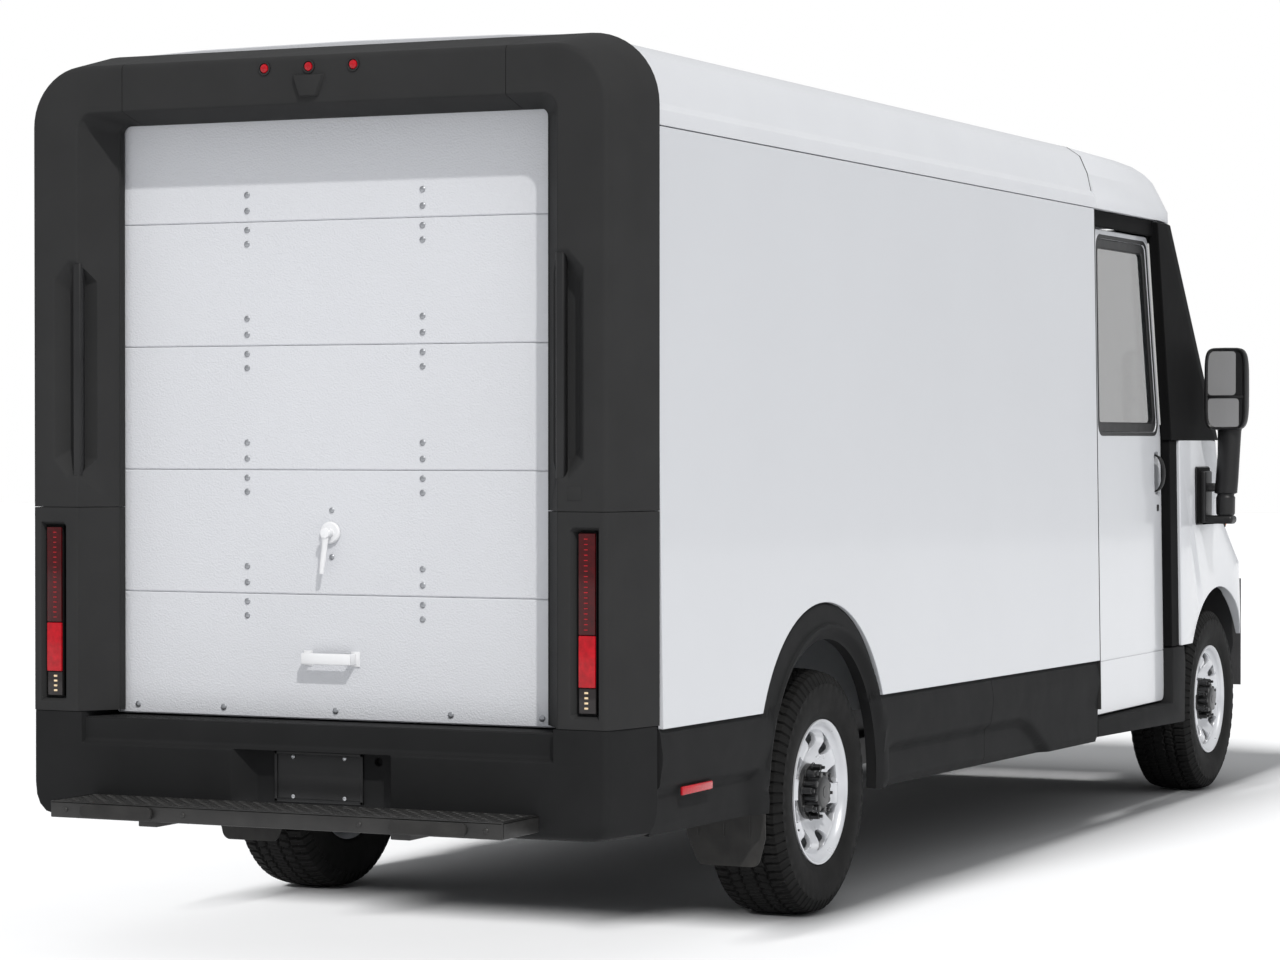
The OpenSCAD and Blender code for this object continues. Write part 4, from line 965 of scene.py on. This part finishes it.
def rear_end():
    piece("bumper_tread", chevrons(-0.785, 0.785, DOOR_Y + 0.006, REAR - 0.032, 0.7062, 0.028), "clad")
    y0, y1 = REAR + 0.001, REAR + 0.2345
    top = 0.470
    parts = [box_bm((-0.768, y0, top - 0.006), (0.768, y1, top), 0.0015),
             chevrons(-0.755, 0.755, y0 + 0.012, y1 - 0.016, top, 0.026, 0.0016, 0.0105),
             box_bm((-0.768, y1 - 0.010, 0.4205), (0.768, y1, top + 0.0005), 0.003)]
    for s in (1, -1):
        parts.append(box_bm((s * 0.768 - (0.010 if s > 0 else 0), y0, 0.4205),
                            (s * 0.768 + (0 if s > 0 else 0.010), y1 - 0.002, top), 0.002))
        rail = prism_bm([(3.203, 0.553), (3.278, 0.553), (3.278, 0.421), (y0, 0.421), (y0 + 0.03, 0.462),
                         (y1 - 0.012, 0.462), (y1 - 0.012, 0.404), (3.203, 0.404)], 0,
                        min(s * 0.397, s * 0.463), max(s * 0.397, s * 0.463))
        parts.append(bevelled(rail, 0.003, 2, 30))
        for x in (s * 0.30, s * 0.52, s * 0.715):
            parts.append(dome_bm(x, y1, 0.445, 0.008, 0.005))
    piece("step_plate", join(*parts), "black_steel", "rear_step", smooth=30)
    pads = []
    for s in (1, -1):
        a, b = s * 0.402, s * 0.658
        xa, xb = min(a, b), max(a, b)
        pts = []
        for cx, base in ((xb - 0.021, -90), (xa + 0.021, 90)):
            for k in range(9):
                q = radians(base + k * 22.5)
                pts.append((cx + 0.020 * cos(q), 0.445 + 0.020 * sin(q)))
        pad = prism_bm(pts, 1, y1 + 0.0012, REAR + 0.2495)
        pads.append(bevelled(pad, 0.004, 2, 30))
        for cx in (xb - 0.022, xa + 0.022):
            pads.append(moved(lathe_bm([(0.0, 0.0085), (-0.0015, 0.0085), (-0.0015, 0.006), (-0.004, 0.0055),
                                        (-0.004, 0.0)], 20, 1), Matrix.Translation((cx, REAR + 0.2495,
                                                0.445))))
    piece("dock_pads", join(*pads), "rubber", "dock_bumpers", smooth=30)
    py = REAR - 0.060
    frame_bar = []
    x0, x1, z0, z1 = -0.153, 0.153, 0.468, 0.622
    frame_bar.append(box_bm((x0, py + 0.0005, z0), (x1, py + 0.005, z1), 0.002))
    for a, b in (((x0, z0), (x1, z0 + 0.010)), ((x0, z1 - 0.010), (x1, z1)), ((x0, z0), (x0 + 0.010, z1)),
                 ((x1 - 0.010, z0), (x1, z1))):
        frame_bar.append(box_bm((a[0], py + 0.003, a[1]), (b[0], py + 0.0078, b[1]), 0.0015))
    piece("plate_holder_frame", join(*frame_bar), "satin_black", "plate_holder", smooth=30)
    screws = [dome_bm(sx * 0.089, py + 0.0052, 0.545 + sz * 0.060, 0.0062, 0.0026) for sx in (1,
            -1) for sz in (1, -1)]
    piece("plate_screws", join(*screws), "track")
    lamps = [box_bm((x - 0.020, py + 0.001, 0.632), (x + 0.020, py + 0.022, 0.646), 0.004) for x in (-0.09,
            0.09)]
    piece("plate_lamps", join(*lamps), "satin_black")


rear_end()


# ---------- Cab mirrors ----------
def super_ring(cx, cy, cz, hx, hz, y, power=0.5, n=36):
    ring = []
    for k in range(n):
        q = 2 * pi * k / n
        u, v = cos(q), sin(q)
        ring.append((cx + hx * copysign(abs(u) ** power, u), y, cz + hz * copysign(abs(v) ** power, v)))
    return ring


def lean(bm, side=1):
    """Leans the kerb-side piece in towards the roof, then mirrors it for the other side."""
    for v in bm.verts:
        v.co.x += SIDE_LEAN * (v.co.z - DECK_Z)
    return on_side(bm, side)


def rounded(points, r, n=6):
    """Corner points of a closed outline replaced with arcs."""
    out = []
    m = len(points)
    for i in range(m):
        p, q, s = (Vector(points[(i + k) % m]) for k in (-1, 0, 1))
        a, b = (p - q).normalized(), (s - q).normalized()
        half = a.angle(b) / 2
        d = min(r / tan(half), (p - q).length * 0.45, (s - q).length * 0.45)
        rr = d * tan(half)
        c = q + (a + b).normalized() * (rr / sin(half))
        t0, t1 = q + a * d - c, q + b * d - c
        ang = t0.angle(t1)
        side = 1 if t0.x * t1.y - t0.y * t1.x > 0 else -1
        for k in range(n + 1):
            w = side * ang * k / n
            out.append((c.x + t0.x * cos(w) - t0.y * sin(w), c.y + t0.x * sin(w) + t0.y * cos(w)))
    return out


def ring_bm(outer, inner, x0, x1, lip=0.0):
    """A frame between two outlines (y, z) with equal point counts, from x0 (outside) to x1."""
    rows = [[(x0 + lip, y, z) for y, z in outer], [(x0, lerp(a[0], b[0], 0.12), lerp(a[1], b[1], 0.12))
            for a, b in zip(outer, inner)], [(x0, lerp(a[0], b[0], 0.88), lerp(a[1], b[1], 0.88))
            for a, b in zip(outer, inner)], [(x0 + lip * 1.5, y, z) for y, z in inner],
            [(x1, y, z) for y, z in inner], [(x1, y, z) for y, z in outer]]
    bm, _ = grid_bm(rows, close_u=True, close_v=True)
    return outward(bm)


DF, CF = -2.155, -1.100
WZ0, WZ1 = 1.595, 2.385


def window(g, rear=None):
    r = CF - 0.190 + (g if rear is None else rear)
    return [(DF + 0.048 - g, WZ0 - g), (r, WZ0 - g), (r, WZ1 + g), (DF + 0.195 - g * 0.9, WZ1 + g)]


def cab_doors():
    for side, tag in ((1, "right"), (-1, "left")):
        body = "cab_door_" + tag
        x = LEAF_X
        skin = [(DF + 0.001, 0.447), (CF + 0.040, 0.447), (CF + 0.040, 2.4215), (DF + 0.160, 2.4215),
                (DF + 0.001, 1.575)]
        outer = rounded(skin, 0.035)
        hole = rounded(window(0.0), 0.045)
        bm = prism_bm(outer, 0, x, x + 0.036)
        c = prism_bm(hole, 0, x - 0.01, x + 0.05)
        grip = prism_bm(rounded([(-2.128, 1.330), (-2.058, 1.330), (-2.058, 1.510), (-2.128, 1.510)], 0.02),
                        0, x - 0.01, x + 0.030)
        crease = prism_bm([(x - 0.01, 0.658), (x + 0.003, 0.661), (x + 0.003, 0.664), (x - 0.01, 0.667)], 1,
                          DF - 0.05, CF + 0.1)
        bm = cut(bm, [c, grip, crease])
        bm = bevelled(bm, 0.0035, 2, 32,
                      lambda e: all(v.co.x < x + 0.001 and not 0.65 < v.co.z < 0.68 for v in e.verts))
        door = piece("door_skin_" + tag, lean(bm, side), "paint", body, smooth=12)
        trim = ring_bm(rounded(window(-0.001), 0.044), rounded(window(-0.040, -0.006), 0.030), x + 0.002,
                       x + 0.024, 0.003)
        outside = ring_bm(rounded(window(0.016), 0.055), rounded(window(0.001), 0.044), x - 0.0022,
                          x + 0.002, 0.0015)
        seal = box_bm((x + 0.002, DF - 0.010, 0.450), (x + 0.030, DF + 0.002, 1.560), 0.003)
        piece("window_trim_" + tag, lean(join(trim, outside), side), "satin_black", body=body,
              smooth=30)
        piece("door_seal_" + tag, lean(seal, side), "rubber", body=body)
        lock = box_bm((x - 0.003, -2.112, 1.258), (x + 0.002, -2.086, 1.286), 0.003)
        cup = box_bm((x + 0.0285, -2.130, 1.328), (x + 0.0305, -2.056, 1.512), 0.0005)
        piece("door_lock_" + tag, lean(join(lock, cup), side), "satin_black", body=body)
        glass = prism_bm(rounded(window(-0.0005), 0.044), 0, x + 0.013, x + 0.018)
        piece("door_window_" + tag, lean(glass, side), "glass", "door_glass_" + tag, smooth=30)
        rows = []
        n = 14
        for i in range(n + 1):
            t = i / n
            z = lerp(1.340, 1.500, t)
            out = 0.040 * sin(pi * min(max(t * 1.06 - 0.03, 0), 1)) ** 0.35
            hw = 0.0125 * (1 if 0 < i < n else 0.8)
            rows.append([(x + 0.010 - out + 0.0075 * copysign(abs(cos(a)) ** 0.6, cos(a)),
                          -2.093 + hw * copysign(abs(sin(a)) ** 0.6, sin(a)), z)
                         for a in [radians(15 + q * 30) for q in range(12)]])
        h = tube_bm(rows)
        piece("door_grip_" + tag, lean(h, side), "satin_black", "door_handle_" + tag, smooth=40)


cab_doors()


def mirrors():
    for side, tag in ((1, "right"), (-1, "left")):
        face = -2.566
        cx, cz = -1.161, 1.785
        rows = [super_ring(cx, 0, cz, hx, hz, face + y, p) for y, hx, hz, p in (
            (-0.006, 0.076, 0.165, 0.30), (0.000, 0.084, 0.172, 0.30), (0.0, 0.090, 0.176, 0.32),
            (-0.008, 0.095, 0.180, 0.34), (-0.040, 0.096, 0.180, 0.38), (-0.075, 0.088, 0.172, 0.44),
            (-0.102, 0.070, 0.152, 0.52), (-0.118, 0.042, 0.108, 0.62))]
        bm = tube_bm(rows)
        divider = box_bm((cx - 0.080, face - 0.012, 1.7455), (cx + 0.080, face - 0.001, 1.7555), 0.002)
        arm_rows = []
        for z, px, py, hx, hy in ((1.232, -1.155, -2.600, 0.036, 0.036),
                                  (1.240, -1.155, -2.600, 0.041, 0.041),
                                  (1.310, -1.155, -2.600, 0.042, 0.042), (1.318, -1.155, -2.600, 0.037,
                                          0.037),
                                  (1.324, -1.156, -2.600, 0.037, 0.037), (1.330, -1.156, -2.600, 0.050,
                                          0.044),
                                  (1.38, -1.160, -2.602, 0.050, 0.042), (1.50, -1.166, -2.610, 0.049, 0.041),
                                  (1.60, -1.166, -2.622, 0.052, 0.042), (1.625, -1.165, -2.625, 0.060,
                                          0.044)):
            arm_rows.append([(px + hx * cos(a), py + hy * sin(a), z)
                             for a in [radians(q * 12) for q in range(30)]])
        arm = tube_bm(arm_rows)
        whole = join(bm, divider, arm)
        piece("mirror_housing_" + tag, on_side(whole, side), "satin_black", "mirror_" + tag, smooth=32)
        glass = []
        for z, hz, x0 in ((1.853, 0.096, cx - 0.046), (1.680, 0.064, cx - 0.060)):
            out = rounded([(x0, z - hz), (cx + 0.078, z - hz), (cx + 0.078, z + hz), (x0, z + hz)], 0.016)
            glass.append(prism_bm(out, 1, face - 0.008, face - 0.0045))
        g = join(*glass)
        # The mirror glass takes the light grey painted reflection colour.
        piece("mirror_glass_" + tag, on_side(g, side), "mirror", body="mirror_" + tag)


mirrors()


# ---------- Cab shell ----------
def cab_shell():
    refined("cab_frame", 0.004, 2, smooth=16)
    refined("front_body", 0.005, 2, smooth=22)
    refined("hood", 0.004, 2, smooth=36)
    refined("front_bumper", 0.006, 2, smooth=36)
    refined("roof_cap", 0.003, 2, smooth=42)
    refined("roof_panel", 0.003, 2, smooth=18)
    for side, tag in ((1, "right"), (-1, "left")):
        refined("side_panel_" + tag, 0.0025, 2, smooth=12)
        pad = prism_bm(rounded([(-2.700, 1.190), (-2.500, 1.190), (-2.500, 1.445), (-2.700, 1.445)], 0.02),
                       0, -1.054, -1.044)
        yoke = [box_bm((-1.196, -2.643, 1.196), (-1.050, -2.557, 1.2312), 0.014, 3),
                box_bm((-1.118, -2.632, 1.335), (-1.050, -2.568, 1.372), 0.010, 3),
                box_bm((-1.080, -2.655, 1.200), (-1.050, -2.545, 1.425), 0.008, 3)]
        m = join(pad, *yoke)
        piece("mirror_mount_" + tag, on_side(m, side), "satin_black")
        bez = box_bm((-0.010, -0.036, -0.022), (0.006, 0.036, 0.022), 0.006, 3)
        lens = box_bm((-0.013, -0.028, -0.015), (-0.004, 0.028, 0.015), 0.005, 3)
        place = Matrix.Translation((-1.018, -3.050, 1.190)) @ Matrix.Rotation(radians(21), 4, "Z")
        for name, bm, mat in (("side_signal_bezel_", bez, "satin_black"),
                              ("side_signal_lens_", lens, "amber")):
            moved(bm, place)
            piece(name + tag, on_side(bm, side), mat)


cab_shell()


# ---------- Rear bumper moulding ----------
def bumper_bm():
    levels = [(0.7215, 1.0425, 0.0), (0.620, 1.0428, 0.0), (0.500, 1.0428, 0.0), (0.460, 1.040, 0.002),
              (0.430, 1.032, 0.008), (0.407, 1.018, 0.020), (0.396, 0.995, 0.036), (0.392, 0.965, 0.055)]
    rows = []
    for z, hs, back in levels:
        f = 0.020
        hc = 0.990 - (1.0428 - hs)
        ry = REAR - back
        side = [(-hs + 0.010, SIDE_Y), (-hs, SIDE_Y + 0.012), (lerp(-hs, -hc, 0.5),
                                                               lerp(SIDE_Y, ry - f, 0.5)),
                (-hc - 0.003, ry - f)]
        side += [(-hc + f - f * cos(a), ry - f + f * sin(a)) for a in [radians(q * 18) for q in range(1, 6)]]
        half = side + [(x, ry) for x in (-0.80, -0.5, -0.25)]
        row = half + [(0.0, ry)] + [(-x, y) for x, y in half[::-1]]
        rows.append([(x, y, z) for x, y in row])
    bm = tube_bm(rows)
    nose = prism_bm([(DOOR_Y - 0.2, 0.7062), (REAR - 0.030, 0.7062), (REAR - 0.026, 0.702),
                     (REAR - 0.026, 0.640),
                     (REAR - 0.020, 0.632), (REAR + 0.02, 0.618), (REAR + 0.02, 0.80), (DOOR_Y - 0.2,
                             0.80)], 0, -0.812, 0.812)
    pocket = prism_bm([(-0.250, REAR - 0.060), (0.217, REAR - 0.060), (0.286, REAR + 0.01),
                       (-0.280, REAR + 0.01)], 2, 0.30, 0.626)
    eyelet = moved(lathe_bm([(-0.02, 0.0), (-0.02, 0.013), (0.02, 0.013), (0.02, 0.0)], 24, 1),
                   Matrix.Translation((-0.202, REAR - 0.062, 0.600)))
    inner = prism_bm([(-0.96, 3.10), (0.96, 3.10), (0.96, 3.316), (-0.96, 3.316)], 2, 0.30, 0.690)
    bm = cut(bm, [nose, pocket, eyelet, inner])
    return bevelled(bm, 0.0045, 2, 30, lambda e: all(v.co.y > 3.33 and abs(v.co.x) < 0.90 for v in e.verts))


def rear_end_skin():
    piece("bumper_moulding", bumper_bm(), "clad", "rear_bumper", smooth=32)
    out = []
    for s in (1, -1):
        pts = rounded([(-1.004, 0.640), (-1.010, 0.300), (-0.985, 0.206), (-0.780, 0.206), (-0.738, 0.300),
                       (-0.738, 0.640)], 0.03)
        flap = prism_bm(pts, 1, AXLE_Y + 0.475, AXLE_Y + 0.481)
        for k in range(3):
            flap = join(flap, box_bm((-0.96 + k * 0.09, AXLE_Y + 0.480, 0.30),
                                     (-0.955 + k * 0.09, AXLE_Y + 0.483, 0.60), 0.001))
        strip = box_bm((-0.995, AXLE_Y + 0.4735, 0.600), (-0.745, AXLE_Y + 0.4845, 0.628), 0.002)
        b = join(flap, strip)
        out.append(on_side(b, s))
    piece("mud_flap_pair", join(*out), "rubber", "mud_flaps", smooth=30)


rear_end_skin()


# ---------- Driver's seat ----------
def cushion_bm(c, half, crown, seams, upright=False):
    """A crowned pad with sewn channels; c is its centre, half its half sizes."""
    rows = []
    nu, nv = 48, 30
    for i in range(nv + 1):
        v = pi * (i / nv - 0.5)
        row = []
        for k in range(nu):
            u = 2 * pi * k / nu
            def sp(t, p):
                return copysign(abs(t) ** p, t)
            x = sp(cos(u), 0.34) * abs(cos(v)) ** 0.24
            y = sp(sin(u), 0.34) * abs(cos(v)) ** 0.24
            z = sp(sin(v), 0.55)
            groove = sum(exp(-((x - s) / 0.035) ** 2) for s in seams) * (0.10 if z > 0 else 0.0)
            bulge = (1 - x * x) * (1 - y * y) * crown * (1 if z > 0 else 0.2)
            z = z * (1 - 0.22 * max(abs(x), abs(y)) ** 3) + (bulge - groove) * (1 if z > 0 else -1)
            p = (x * half[0], y * half[1], z * half[2])
            row.append((c[0] + p[0], c[1] + p[1], c[2] + p[2]) if not upright
                       else (c[0] + p[0], c[1] + p[2], c[2] + p[1]))
        rows.append(row)
    bm, vs = grid_bm(rows, close_v=True)
    bmesh.ops.remove_doubles(bm, verts=bm.verts, dist=1e-5)
    return outward(bm)


def seat():
    for node, upright in (("seat_cushion", False), ("seat_back", True)):
        lo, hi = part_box(node)
        c = [(a + b) / 2 for a, b in zip(lo, hi)]
        h = [(b - a) / 2 for a, b in zip(lo, hi)]
        half = (h[0] * 0.99, h[2] * 0.99, h[1] * 0.80) if upright else (h[0] * 0.99, h[1] * 0.99, h[2] * 0.80)
        bm = cushion_bm(c, half, 0.16, (-0.55, 0.55), upright)
        if upright:
            bmesh.ops.reverse_faces(bm, faces=bm.faces)
            outward(bm)
        o = piece(node + "_pad", bm, "fabric", node, smooth=60)


seat()
for name, width in (("steering_wheel", 0.0), ("dashboard", 0.012), ("seat_base", 0.003),
                    ("brake_pedal", 0.002),
                    ("accelerator_pedal", 0.002), ("bulkhead_door", 0.002), ("knuckle_right", 0.003),
                    ("knuckle_left", 0.003), ("wiper", 0.001)):
    refined(name, width, 2, smooth=34)


# ---------- Dark joints round the cargo box ----------
ROOF_ARC = [(1.0053, 2.5635), (0.9893, 2.634), (0.9573, 2.705), (0.9023, 2.743), (0.8023, 2.768),
            (0.5273, 2.780),
            (0.0, 2.785)]


def joints():
    arc = ROOF_ARC + [(-x, z) for x, z in ROOF_ARC[-2::-1]]
    rows = []
    for y0, lift in ((-1.1345, -0.004), (-1.1345, 0.0004), (-1.1245, 0.0004), (-1.1245, -0.004)):
        rows.append([(x * (1 + lift), y0, min(z + lift, 2.785)) for x, z in arc])
    bm, vs = grid_bm(rows, close_u=True)
    cap(bm, [r[0] for r in vs])
    cap(bm, [r[-1] for r in vs])
    outward(bm)
    piece("roof_joint_seal", bm, "seam", smooth=60)
    edge = lean(box_bm((-HALF + 0.0006, CF - 0.011, 0.480), (-HALF + 0.030, CF - 0.0004, 2.486), 0.001))
    piece("panel_edge_seals", join(flipped(edge), edge), "rubber")


joints()


def floor_shadow():
    """Only what is low and inboard shades the floor from its own light."""
    low = bpy.data.collections.new("floor_shade")
    for o in bpy.context.scene.objects:
        if o.name.startswith(("tyre_tread_", "wheel_disc_", "sill_cladding")):
            low.objects.link(o)
    for name in ("battery_pack", "rear_axle", "cab_floor", "cargo_floor", "chassis_frame"):
        low.objects.link(nodes[name])
    bpy.data.objects["floor_fill"].light_linking.blocker_collection = low


floor_shadow()
